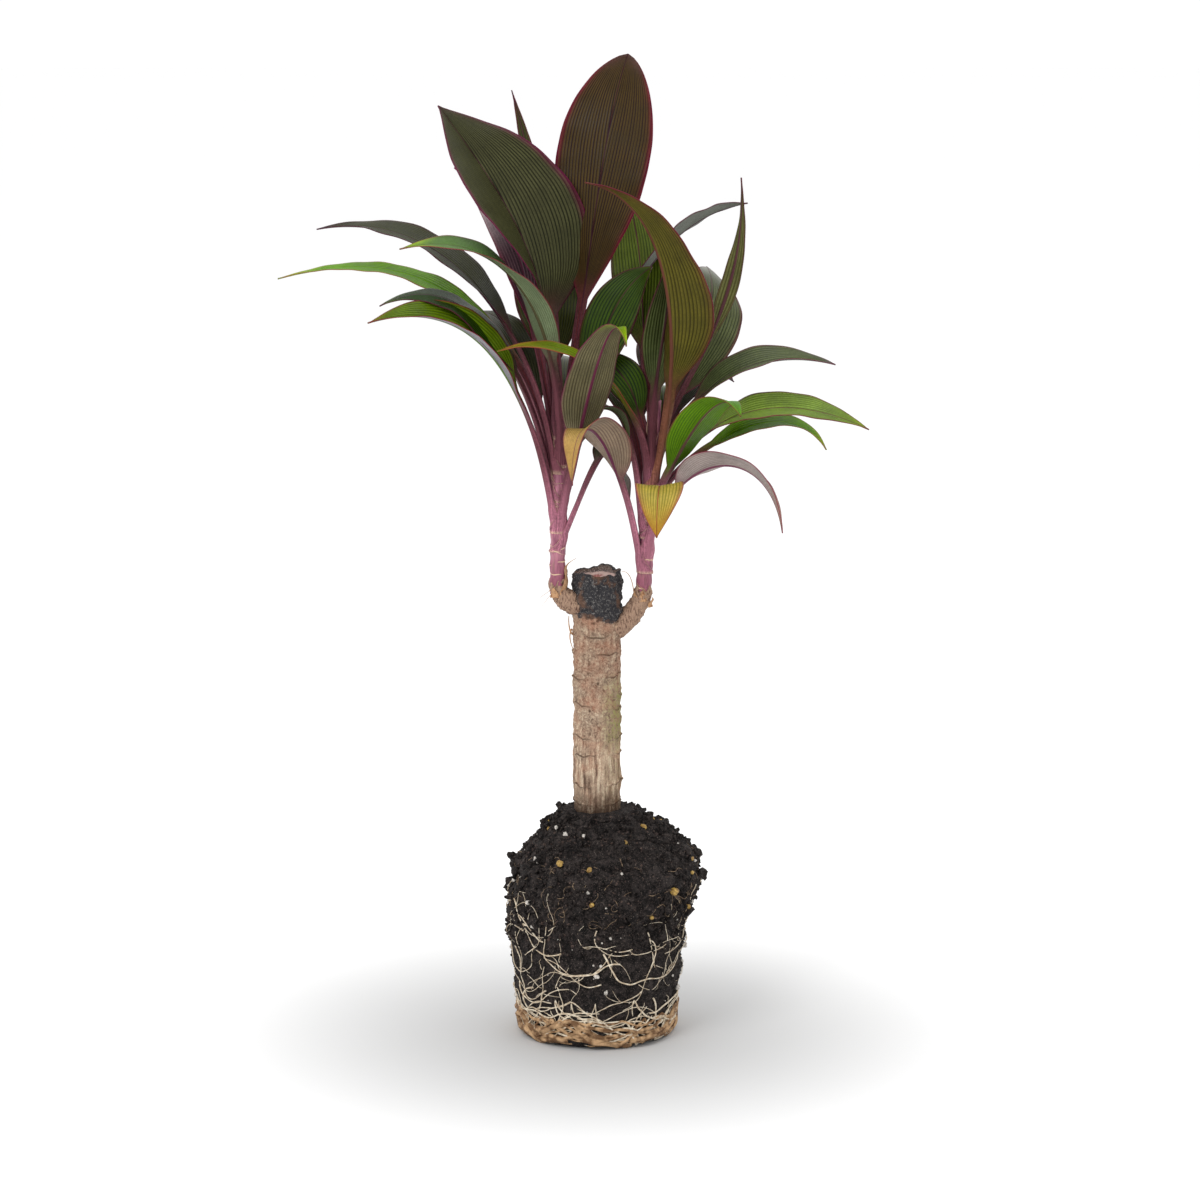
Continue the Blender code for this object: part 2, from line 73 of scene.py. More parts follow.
# ---- leaves. foot: height of the petiole's foot. side: compass side of the stem it grows on
# (0 right, 90 back, 180 left, 270 front). lean: lean from upright at the foot, held for about
# push. reach, rise, bearing: where the tip is, seen from the foot. dip: lean at the tip (over
# 90 hangs) towards swing, held for about pull. petiole: its share of the length. width: widest
# blade, at peak of its length. turn, twist: roll of the blade about its midrib at the base,
# and how much more by the tip. fold: how far each half is folded up. base, point: how its
# outline narrows to the base and to the tip, under 1 for a blunt end and 3 for a drawn-out one.
# look: its row in LOOKS.
Leaf = namedtuple(
    "Leaf",
    "name shoot foot side lean push reach rise bearing dip swing pull"
    " petiole width peak turn twist fold base point look",
)
LEAVES = (
    # left shoot, lowest first
    Leaf("leaf_left_low_right", LEFT, 328, 350, 22, 72, 60, 10, 48, 160, 40, 55,
         0.40, 26, 0.45, 20, 0, 12, 1.1, 1.2, "plum"),
    Leaf("leaf_left_front", LEFT, 340, 300, 20, 64, 77, 114, 301, 165, 325, 46,
         0.30, 35, 0.40, -14, 0, 10, 0.95, 1.0, "ash_lime"),
    Leaf("leaf_left_low", LEFT, 345, 205, 10, 87, 115, 119, 191, 106, 191, 70,
         0.36, 29, 0.42, -26, 0, 30, 1.1, 1.2, "meadow_ash"),
    Leaf("leaf_left_inner_right", LEFT, 352, 12, 16, 52, 55, 144, 14, 60, 14, 48,
         0.42, 32, 0.52, 68, 0, 8, 1.0, 1.0, "bottle"),
    Leaf("leaf_left_back_low", LEFT, 350, 76, 20, 60, 110, 76, 87, 110, 88, 50,
         0.30, 36, 0.45, 0, 0, 8, 1.1, 1.2, "olive"),
    Leaf("leaf_left_mid", LEFT, 360, 172, 11, 84, 107, 113, 184, 118, 185, 60,
         0.38, 36, 0.34, -16, 0, -4, 1.1, 1.2, "shade"),
    Leaf("leaf_left_far", LEFT, 368, 140, 12, 100, 190, 116, 160, 106, 162, 105,
         0.33, 20, 0.42, -14, 0, 8, 1.1, 1.2, "spring"),
    Leaf("leaf_left_back", LEFT, 372, 102, 15, 80, 108, 142, 97, 65, 96, 60,
         0.32, 44, 0.45, 0, 0, 8, 1.1, 1.2, "olive"),
    Leaf("leaf_left_back_left", LEFT, 357, 118, 22, 70, 97, 103, 128, 105, 130, 56,
         0.32, 28, 0.42, 0, 0, 8, 1.1, 1.2, "plum"),
    Leaf("leaf_left_upper", LEFT, 378, 193, 9, 92, 155, 140, 165, 101, 163, 84,
         0.32, 38, 0.34, -12, 0, 12, 1.1, 1.2, "plum"),
    Leaf("leaf_left_arching", LEFT, 382, 272, 4, 100, 104, 129, 199, 102, 198, 64,
         0.27, 32, 0.45, -20, 0, 12, 0.8, 1.2, "meadow"),
    Leaf("leaf_left_back_right", LEFT, 382, 40, 22, 90, 141, 150, 34, 85, 33, 70,
         0.34, 40, 0.42, -32, 0, 8, 1.1, 1.2, "slate"),
    Leaf("leaf_left_behind", LEFT, 388, 155, 12, 80, 84, 168, 139, 60, 150, 70,
         0.32, 25, 0.50, -45, 0, 8, 1.1, 1.2, "rosy"),
    Leaf("leaf_left_back_tall", LEFT, 392, 95, 14, 80, 98, 212, 109, 40, 112, 80,
         0.32, 11, 0.48, -20, 0, 8, 1.1, 1.2, "olive"),
    Leaf("leaf_left_tall", LEFT, 400, 195, -4, 96, 84, 196, 150, 40, 152, 70,
         0.27, 78, 0.39, -32, 0, 30, 0.9, 1.15, "dusk"),
    Leaf("leaf_left_tallest", LEFT, 402, 51, 14, 100, 70.5, 226, 56, 42, 66, 62,
         0.27, 61, 0.58, 14, 0, 5, 1.35, 0.72, "umber"),
    # right shoot, lowest first
    Leaf("leaf_right_front_left", RIGHT, 314, 205, 10, 80, 93, 56, 244, 180, 242, 66,
         0.32, 35, 0.34, 0, 30, 12, 0.9, 1.25, "mauve_amber"),
    Leaf("leaf_right_front", RIGHT, 322, 293, 30, 58, 83, 16, 272, 170, 275, 45,
         0.30, 30, 0.50, 0, 0, 6, 1.0, 1.1, "ochre"),
    Leaf("leaf_right_low", RIGHT, 336, 345, 25, 56, 86, -3, 336, 172, 336, 55,
         0.18, 40, 0.30, -20, 0, 12, 1.1, 1.2, "fading"),
    Leaf("leaf_right_low_left", RIGHT, 338, 195, 5, 60, 38, 66, 200, 120, 198, 30,
         0.50, 19, 0.42, 0, 0, 12, 1.1, 1.2, "bottle"),
    Leaf("leaf_right_front_right", RIGHT, 345, 315, 25, 48, 76, 64, 313, 155, 316, 32,
         0.20, 34, 0.50, -12, 0, 8, 1.3, 1.0, "emerald"),
    Leaf("leaf_right_lower", RIGHT, 347, 25, 32, 45, 108, 33, 2, 150, 0, 45,
         0.34, 24, 0.42, 16, 0, 12, 1.1, 1.2, "spring"),
    Leaf("leaf_right_back_low_left", RIGHT, 352, 122, 20, 60, 92, 60, 103, 115, 102, 50,
         0.30, 32, 0.45, 0, 0, 8, 1.1, 1.2, "olive"),
    Leaf("leaf_right_mid", RIGHT, 356, 348, 29, 50, 133, 40, 353, 114, 352, 74,
         0.28, 30, 0.42, 25, 0, 12, 1.1, 1.2, "grass"),
    Leaf("leaf_right_back_low", RIGHT, 360, 70, 22, 60, 105, 32, 82, 140, 82, 50,
         0.30, 34, 0.45, 0, 0, 8, 1.1, 1.2, "grass"),
    Leaf("leaf_right_back_right", RIGHT, 366, 48, 25, 60, 88, 50, 54, 115, 54, 50,
         0.30, 30, 0.42, 0, 0, 8, 1.1, 1.2, "plum"),
    Leaf("leaf_right_tall", RIGHT, 366, 318, 15, 88, 62, 186, 222, 80, 190, 58,
         0.22, 47, 0.37, -64, 84, 36, 1.6, 1.9, "umber_olive"),
    Leaf("leaf_right_crossing", RIGHT, 368, 232, 5, 44, 100, 80, 202, 105, 202, 60,
         0.22, 15, 0.35, -30, 0, 8, 1.1, 1.2, "citron"),
    Leaf("leaf_right_upper", RIGHT, 374, 12, 22, 44, 112, 60, 5, 105, 4, 60,
         0.28, 33, 0.42, 14, 0, 18, 1.1, 1.2, "sage"),
    Leaf("leaf_right_upright", RIGHT, 376, 268, 0, 60, 16, 130, 40, 5, 285, 50,
         0.30, 28, 0.42, 0, 0, -23, 1.1, 1.2, "bottle"),
    Leaf("leaf_right_back", RIGHT, 378, 95, 25, 60, 118, 70, 80, 90, 82, 60,
         0.28, 36, 0.45, 0, 0, 8, 1.1, 1.2, "olive"),
    Leaf("leaf_right_inner_left", RIGHT, 382, 162, 10, 44, 33, 62, 158, 45, 158, 30,
         0.25, 25, 0.50, -60, 0, 8, 1.1, 1.2, "bottle"),
    Leaf("leaf_right_broad", RIGHT, 386, 45, 32, 58, 91, 104, 69, 75, 100, 60,
         0.20, 46, 0.56, 30, 0, 6, 0.8, 1.2, "slate_sheen_tip"),
    Leaf("leaf_right_spear", RIGHT, 390, 352, 26, 72, 51, 162, 12, 5, 190, 60,
         0.30, 12, 0.45, 18, 0, 0, 1.1, 1.2, "moss"),
    Leaf("leaf_right_back_left", RIGHT, 398, 112, 20, 70, 86, 140, 100, 35, 115, 60,
         0.28, 38, 0.50, -25, 0, 8, 0.85, 0.9, "striped"),
)

# One row a leaf colouring, as sRGB hex: the upper face and the streaks between its veins,
# the underside and its streaks, the margin, the midrib, the petiole and the tip. blush: how
# far the margin's colour runs into the blade, in mm. ripe: share of the blade where the
# tip's colour starts. wave: height of the margin's waves, in mm.
Look = namedtuple(
    "Look", "upper streak under under_streak margin midrib petiole tip blush ripe wave"
)
LOOKS = {
    "umber": Look("#463924", "#2a2014", "#6e6864", "#5a4a50", "#742038", "#38202a", "#744850",
                  "#4a3630", 1.8, 0.93, 0.5),
    "umber_olive": Look("#504826", "#322a16", "#5c562a", "#3e3a1a", "#702838", "#6a4038",
                        "#a06a56", "#4a3c28", 2.0, 0.90, 0.4),
    "dusk": Look("#4a4a34", "#2a2b20", "#56544a", "#3c3a38", "#642040", "#4c2838", "#744a52",
                 "#504c40", 1.2, 0.93, 0.5),
    "olive": Look("#40441f", "#2c3016", "#5e6052", "#46443c", "#5e2236", "#4c2836", "#744850",
                  "#4a4028", 1.0, 0.92, 0.6),
    "plum": Look("#444630", "#2e2e22", "#5e584c", "#483e40", "#4c2232", "#44283a", "#744850",
                 "#4a3c3c", 1.2, 0.90, 0.5),
    "rosy": Look("#604a50", "#44323a", "#a89498", "#8a747c", "#7a2440", "#6a3448", "#744850",
                 "#b8a4a8", 2.4, 0.45, 0.4),
    "slate": Look("#444a36", "#2c3024", "#767a70", "#5e605a", "#5a2838", "#4c2c3c", "#744850",
                  "#54523c", 1.0, 0.92, 0.6),
    # slate_sheen_tip: its near-white tip colour is a painted sheen over the blade's last fifth
    "slate_sheen_tip": Look("#565c3c", "#363c28", "#8a8c84", "#6c6e68", "#642c3c", "#54303c",
                       "#744850", "#a0a098", 1.0, 0.80, 0.6),
    "bottle": Look("#3c4e1e", "#26340e", "#525a3a", "#3a4228", "#542434", "#4a2c34", "#744850",
                   "#4c5c1c", 0.8, 0.93, 0.5),
    "moss": Look("#565c28", "#3c411a", "#6c6c44", "#525230", "#5c3238", "#5a3440", "#744850",
                 "#6a4a34", 1.0, 0.90, 0.3),
    "striped": Look("#62702e", "#3c4a1a", "#848868", "#666a4c", "#602c38", "#602c40", "#744850",
                     "#66742c", 1.0, 0.93, 0.5),
    "meadow": Look("#5e7c46", "#466030", "#748062", "#5c684c", "#7c3a40", "#4c4430", "#744850",
                   "#96b42c", 0.6, 0.84, 0.4),
    "shade": Look("#34480e", "#223008", "#76806c", "#5e6656", "#5a2838", "#54284a", "#744850",
                  "#4c6a28", 0.6, 0.86, 0.4),
    "meadow_ash": Look("#647c08", "#485c04", "#8c8a8e", "#747276", "#7c2c3c", "#54701c",
                       "#744850", "#8a7c38", 0.6, 0.90, 0.4),
    "spring": Look("#669202", "#4c7202", "#84946c", "#6c7c58", "#8c6038", "#548404", "#744850",
                   "#a8b428", 0.4, 0.82, 0.4),
    "emerald": Look("#5a8c14", "#40700a", "#5c8220", "#446414", "#785038", "#644044", "#744850",
                    "#64a018", 0.6, 0.93, 0.6),
    "grass": Look("#72883c", "#546a28", "#7c825c", "#626848", "#783840", "#643840", "#744850",
                   "#94a838", 0.6, 0.88, 0.4),
    "citron": Look("#6c8020", "#526414", "#7c7c3c", "#66662c", "#94503c", "#6c6c28", "#744850",
                   "#a08430", 0.8, 0.70, 0.3),
    "sage": Look("#586040", "#3c442c", "#76786c", "#5a5c52", "#683844", "#5c3c4c", "#744850",
                  "#74706c", 0.8, 0.90, 0.5),
    "ash_lime": Look("#50641e", "#384814", "#706a50", "#4e4838", "#702c48", "#682c48",
                      "#744850", "#a4cc1c", 1.0, 0.80, 0.5),
    "mauve_amber": Look("#a88c50", "#80683c", "#92806c", "#6e5c50", "#843c48", "#64284a",
                         "#744850", "#b08c50", 1.5, 0.60, 0.4),
    "ochre": Look("#ac9848", "#848034", "#a08e5c", "#887646", "#a0504c", "#8c4c34", "#7c4c50",
                   "#b08434", 2.4, 0.70, 0.6),
    "fading": Look("#8c7c74", "#6e5e5a", "#a89c96", "#8a7c78", "#843c4c", "#743c54", "#744850",
                    "#a87c68", 1.5, 0.65, 0.5),
}

PETIOLE_SHARE = 0.011  # thickness of a petiole, as a share of the way from foot to tip
PETIOLE_WIDTH = 7.2 * MM
TIP_WIDTH = 0.7 * MM
SHEATH = 12.0 * MM  # how far a petiole's clasping base runs down the stem below its foot
FOOT_PINK = "#a4687a"  # petioles near the stem
HEM = "#c8a890"  # papery hem of a clasping base
CHANNEL_RED = "#7c3030"  # inside of a petiole's channel
WAX_LIGHT = 0.014  # white light that the wax gives back
UNDER_WAX = 0.88  # share of the rest that is the blade's own colour
DARKEST = 0.0012


# ---------------------------------------------------------------- settings

def size(name, description, default, **more):
    """A length in metres that the sidebar shows."""
    return bpy.props.FloatProperty(
        name=name, description=description, default=default, subtype="DISTANCE", unit="LENGTH",
        **more
    )


def colour(name, description, default):
    """A colour that the sidebar shows, from its sRGB hex value."""
    return bpy.props.FloatVectorProperty(
        name=name, description=description, default=linear(default)[:3], subtype="COLOR",
        size=3, min=0.0, max=1.0,
    )


def linear(code):
    """Linear RGBA of an sRGB hex colour."""
    values = [int(code[k:k + 2], 16) / 255.0 for k in (1, 3, 5)]
    return tuple(
        v / 12.92 if v <= 0.04045 else ((v + 0.055) / 1.055) ** 2.4 for v in values
    ) + (1.0,)


class TiLeafSettings(bpy.types.PropertyGroup):
    """Sizes that all the leaves share."""

    thickness: size("Blade", "Thickness of the blade between its veins", 0.45 * MM)
    stalk: size("Petiole", "Thickness of the petiole", 2.0 * MM)
    midrib: size("Midrib", "Thickness of the midrib where the blade starts", 1.7 * MM)
    vein: size("Vein spacing", "Distance between the blade's veins at its widest", 2.0 * MM)
    across: bpy.props.IntProperty(
        name="Faces across", description="Faces across each leaf", default=24, min=6
    )
    along: bpy.props.IntProperty(
        name="Faces along", description="Faces along each leaf", default=110, min=20
    )


class TiCaneSettings(bpy.types.PropertyGroup):
    """Sizes and colours of the cane and its sawn stump."""

    radius: size("Radius", "Radius of the cane", 15.0 * MM)
    foot: size("Foot", "Height of the cane's hidden foot", 84.4 * MM)
    scorch_foot: size("Scorch foot", "Height where the blackened stump starts", 274.0 * MM)
    scorch_radius: size("Scorch radius", "Radius of the blackened stump", 16.1 * MM)
    top: size("Top", "Height of the stump's rim", 302.0 * MM)
    cut: size("Cut", "Radius of the sawn face", 12.8 * MM)
    bark: colour("Bark", "Dry bark between the scars", "#ad947e")
    bark_dark: colour("Dark bark", "Furrows of the bark", "#6a5446")
    algae: colour("Algae", "Green film on the bark", "#848446")
    stain: colour("Stain", "Reddish bark near the soil and between the scars", "#8c624e")
    char: colour("Char", "Burnt bark", "#323134")
    ash: colour("Ash", "Ash on the burnt bark", "#8c8884")
    wood: colour("Wood", "Sawn face", "#ceb0a8")
    heart: colour("Heart", "Middle of the sawn face", "#9c5a54")


class TiShootSettings(bpy.types.PropertyGroup):
    """Colours of the two shoots."""

    pink: colour("Stem", "Young stem", "#a86c7c")
    plum: colour("Shade", "Darker patches of the stem", "#7c4258")
    green: colour("Green", "Greener patches of the stem", "#8c7c68")
    ring: colour("Ring", "Pale rings where leaves dropped", "#dcc29c")
    husk: colour("Husk", "Dry bark and scales of the collars", "#9e826e")
    husk_dark: colour("Dark husk", "Creases of the collars", "#5a4238")


class TiBallSettings(bpy.types.PropertyGroup):
    """Sizes and colours of the root ball."""

    foot_radius: size("Foot radius", "Radius of the flat underside", 50.0 * MM)
    rim_radius: size("Rim radius", "Radius at the pot's rim", 58.0 * MM)
    rim_height: size("Rim height", "Height of the pot's rim", 80.0 * MM)
    foot_round: size("Foot rounding", "Rounding round the underside", 7.0 * MM)
    crumb: size("Crumble", "How far the surface stands in and out", 1.3 * MM)
    peat: colour("Peat", "Damp peat", "#161414")
    peat_dry: colour("Dry peat", "Drier crumbs", "#453e3c")
    root: colour("Root", "Young roots", "#e6dac4")
    root_old: colour("Old root", "Roots that circle the foot", "#c4a078")
    prill: colour("Prill", "Coated fertiliser prills", "#b8984e")
    perlite: colour("Perlite", "Perlite grains", "#dcd4cc")


class TiPlantSettings(bpy.types.PropertyGroup):
    """All the settings of the plant."""

    leaf: bpy.props.PointerProperty(type=TiLeafSettings)
    cane: bpy.props.PointerProperty(type=TiCaneSettings)
    shoot: bpy.props.PointerProperty(type=TiShootSettings)
    ball: bpy.props.PointerProperty(type=TiBallSettings)


# ---------------------------------------------------------------- shared shapes

def bezier(points, t):
    """Points of a cubic Bezier curve at the shares t of its run."""
    a, b, c, d = (np.asarray(p, float) for p in points)
    t = np.asarray(t, float)[:, None]
    s = 1.0 - t
    return a * s**3 + 3.0 * b * s * s * t + 3.0 * c * s * t * t + d * t**3


def heading(lean, bearing):
    """Unit vector leaning from upright towards a compass bearing, both in degrees."""
    lean, bearing = math.radians(lean), math.radians(bearing)
    return np.array(
        (math.sin(lean) * math.cos(bearing), math.sin(lean) * math.sin(bearing), math.cos(lean))
    )


def unit(rows):
    """The rows, each brought to a length of 1."""
    rows = np.asarray(rows, float)
    return rows / np.linalg.norm(rows, axis=-1, keepdims=True)


def ramp(value, low, high):
    """0 below low, 1 above high, and a smooth step between them."""
    t = np.clip((np.asarray(value, float) - low) / (high - low), 0.0, 1.0)
    return t * t * (3.0 - 2.0 * t)


def even_run(line, shares):
    """The line's points at the given shares of its length, and its length."""
    steps = np.linalg.norm(np.diff(line, axis=0), axis=1)
    along = np.concatenate(((0.0,), np.cumsum(steps)))
    wanted = np.asarray(shares) * along[-1]
    return np.stack([np.interp(wanted, along, line[:, k]) for k in range(3)], axis=1), along[-1]


def shoot_axis(shoot, t):
    """Stem from the elbow to the shoot's tip."""
    elbow, waist, top = (np.array(p) * MM for p in (shoot.elbow, shoot.waist, shoot.top))
    return bezier((elbow, elbow + (waist - elbow) * 0.9, waist + (top - waist) * 0.3, top), t)


def stem_radius(shoot, height):
    """The stem is even up to its waist and then narrows a little to the shoot's tip."""
    waist, top = shoot.waist[2] * MM, shoot.top[2] * MM
    return shoot.radius * MM * (1.0 - 0.25 * ramp(height, waist, top))


def stem_point(shoot, height):
    """Centre of the shoot's stem at a height."""
    line = shoot_axis(shoot, np.linspace(0.0, 1.0, 60))
    return np.array([np.interp(height, line[:, 2], line[:, k]) for k in range(3)])


def sheet_grid(across, along):
    """A flat bmesh grid, with its points' places: -1 to 1 across and 0 to 1 along."""
    bm = bmesh.new()
    bmesh.ops.create_grid(bm, x_segments=across, y_segments=along, size=0.5)
    places = np.array([vert.co[:2] for vert in bm.verts])
    return bm, places[:, 0] * 2.0, places[:, 1] + 0.5


def turned(outline, steps):
    """A bmesh turned about the upright axis from (radius, height) points, its ends closed."""
    bm = bmesh.new()
    verts = [bm.verts.new((radius, 0.0, height)) for radius, height in outline]
    edges = [bm.edges.new(pair) for pair in zip(verts, verts[1:])]
    bmesh.ops.spin(
        bm, geom=verts + edges, cent=(0, 0, 0), axis=(0, 0, 1), angle=2.0 * math.pi,
        steps=steps, use_merge=True,
    )
    bmesh.ops.remove_doubles(bm, verts=bm.verts[:], dist=WELD)
    bmesh.ops.holes_fill(bm, edges=[e for e in bm.edges if e.is_boundary], sides=400)
    return bm


def settle(bm, points):
    """Moves the bmesh's points to their places."""
    for vert, point in zip(bm.verts, points):
        vert.co = point


def finish_piece(bm, name, materials, nodes=()):
    """Makes the bmesh an object of the plant, as finish_mesh does."""
    mesh = bpy.data.meshes.new(name)
    bm.to_mesh(mesh)
    bm.free()
    return finish_mesh(mesh, name, materials, nodes)


def finish_mesh(mesh, name, materials, nodes=(), smooth=True):
    """Makes the mesh an object that rides the root body and replaces the given nodes."""
    mesh.polygons.foreach_set("use_smooth", [smooth] * len(mesh.polygons))
    for mat in materials:
        mesh.materials.append(mat)
    obj = bpy.data.objects.new(name, mesh)
    bpy.context.scene.collection.objects.link(obj)
    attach(obj, "root")
    if nodes:
        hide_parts(*nodes)
    return obj


def put_numbers(mesh, name, values):
    """A number at each point of the mesh, for its material to read."""
    layer = mesh.attributes.new(name, "FLOAT", "POINT")
    layer.data.foreach_set("value", np.asarray(values, np.float32))


def put_colours(mesh, name, rows):
    """A linear colour at each point of the mesh, for its material to read."""
    layer = mesh.attributes.new(name, "FLOAT_COLOR", "POINT")
    layer.data.foreach_set("color", np.asarray(rows, np.float32).ravel())


def put_uv(mesh, u, v):
    """Lays the points' places out as the mesh's UV map."""
    loops = np.empty(len(mesh.loops), np.int32)
    mesh.loops.foreach_get("vertex_index", loops)
    layer = mesh.uv_layers.new(name="UVMap")
    layer.data.foreach_set("uv", np.stack((u, v), axis=1)[loops].astype(np.float32).ravel())


# ---------------------------------------------------------------- shared materials

MATH, RANGE, MIX = "ShaderNodeMath", "ShaderNodeMapRange", "ShaderNodeMix"
NOISE, ATTRIBUTE = "ShaderNodeTexNoise", "ShaderNodeAttribute"


def add_node(tree, kind, inputs=None, **settings):
    """Adds one node: its settings, then each input, a value, a socket or a whole node."""
    made = tree.nodes.new(kind)
    for key, value in settings.items():
        setattr(made, key, value)
    for key, value in (inputs or {}).items():
        if isinstance(value, bpy.types.Node):
            value = next(out for out in value.outputs if out.enabled)
        if isinstance(value, bpy.types.NodeSocket):
            tree.links.new(value, made.inputs[key])
        else:
            made.inputs[key].default_value = value
    return made


def new_material(name, **sockets):
    """A material with its shader, and the numbers that are the same all over it."""
    mat = bpy.data.materials.new(name)
    mat.use_nodes = True
    shader = mat.node_tree.nodes["Principled BSDF"]
    for key, value in sockets.items():
        shader.inputs[key.replace("_", " ").title().replace("Ior", "IOR")].default_value = value
    return mat, mat.node_tree, shader


# ---------------------------------------------------------------- leaves

def leaf_foot(leaf):
    """Middle of the petiole's foot, just clear of the stem."""
    centre = stem_point(leaf.shoot, leaf.foot * MM)
    thick = PETIOLE_SHARE * math.hypot(leaf.reach, leaf.rise) * MM
    out = stem_radius(leaf.shoot, leaf.foot * MM) + GAP + 0.5 * thick
    return centre + heading(90.0, leaf.side) * out


def leaf_line(leaf, count=160):
    """Midrib of a leaf, evenly spaced, and its length."""
    foot = leaf_foot(leaf)
    tip = foot + heading(90.0, leaf.bearing) * leaf.reach * MM + np.array((0, 0, leaf.rise * MM))
    first = foot + heading(leaf.lean, leaf.side) * leaf.push * MM
    last = tip - heading(leaf.dip, leaf.swing) * leaf.pull * MM
    line = bezier((foot, first, last, tip), np.linspace(0.0, 1.0, count))
    return even_run(line, np.linspace(0.0, 1.0, count))


def leaf_frames(leaf, shares):
    """Midrib points, side vectors and upward normals at shares of the leaf's length.

    Below the foot, at shares under 0, they run down along the stem.
    """
    line, length = leaf_line(leaf)
    even = np.linspace(0.0, 1.0, len(line))
    tangent = unit(np.gradient(line, axis=0))
    foot = leaf.foot * MM
    stem = unit(stem_point(leaf.shoot, foot + 2.0 * MM) - stem_point(leaf.shoot, foot - 2.0 * MM))
    clasp = 1.0 - ramp(even * length, 0.0, 14.0 * MM)
    tangent = unit(tangent + (stem - tangent) * clasp[:, None])
    swing = (leaf.swing - leaf.side + 180.0) % 360.0 - 180.0
    bearing = np.radians(leaf.side + swing * ramp(even, 0.1, 0.9))
    side = np.stack((-np.sin(bearing), np.cos(bearing), 0.0 * bearing), axis=1)
    side = unit(side - tangent * np.sum(side * tangent, axis=1, keepdims=True))
    normal = np.cross(tangent, side)
    roll = leaf.turn * ramp(even, 0.0, leaf.petiole + 0.12)
    roll = np.radians(roll + leaf.twist * ramp(even, leaf.petiole, 1.0))[:, None]
    side, normal = (
        side * np.cos(roll) + normal * np.sin(roll),
        normal * np.cos(roll) - side * np.sin(roll),
    )
    line, side, normal = (
        np.stack([np.interp(shares, even, rows[:, k]) for k in range(3)], axis=1)
        for rows in (line, side, normal)
    )
    below = np.minimum(shares, 0.0) * length
    sink = 1.15 * MM * ramp(-below, 0.0, SHEATH)
    place = line + stem * below[:, None] - heading(90.0, leaf.side) * sink[:, None]
    return place, side, normal, length


def blade_share(leaf, shares):
    """0 up to the blade's base and 1 at its tip, from shares of the leaf's length."""
    return np.clip((np.asarray(shares) - leaf.petiole) / (1.0 - leaf.petiole), 0.0, 1.0)


def blade_width(leaf, shares):
    """Full width at shares of the leaf's length: an even petiole, then the blade."""
    u = blade_share(leaf, shares)
    p = leaf.peak
    low, high = np.clip((p - u) / p, 0.0, 1.0), np.clip((u - p) / (1.0 - p), 0.0, 1.0)
    swell = (1.0 - low**2) ** leaf.base * (1.0 - high**2) ** leaf.point
    stalk = PETIOLE_WIDTH * (0.8 + 0.2 * ramp(shares, 0.0, 0.12))
    narrow = stalk + (TIP_WIDTH - stalk) * ramp(u, 0.0, 0.85)
    return np.maximum(leaf.width * MM * swell, narrow)


def spread(across, half):
    """Shares across the blade, closer together near the midrib than in the blade."""
    near = np.minimum(1.4 * MM / half, 0.3)
    inner, reach = 0.3, np.abs(across)
    share = np.where(
        reach < inner,
        reach / inner * near,
        near + (reach - inner) / (1.0 - inner) * (1.0 - near),
    )
    return np.sign(across) * share


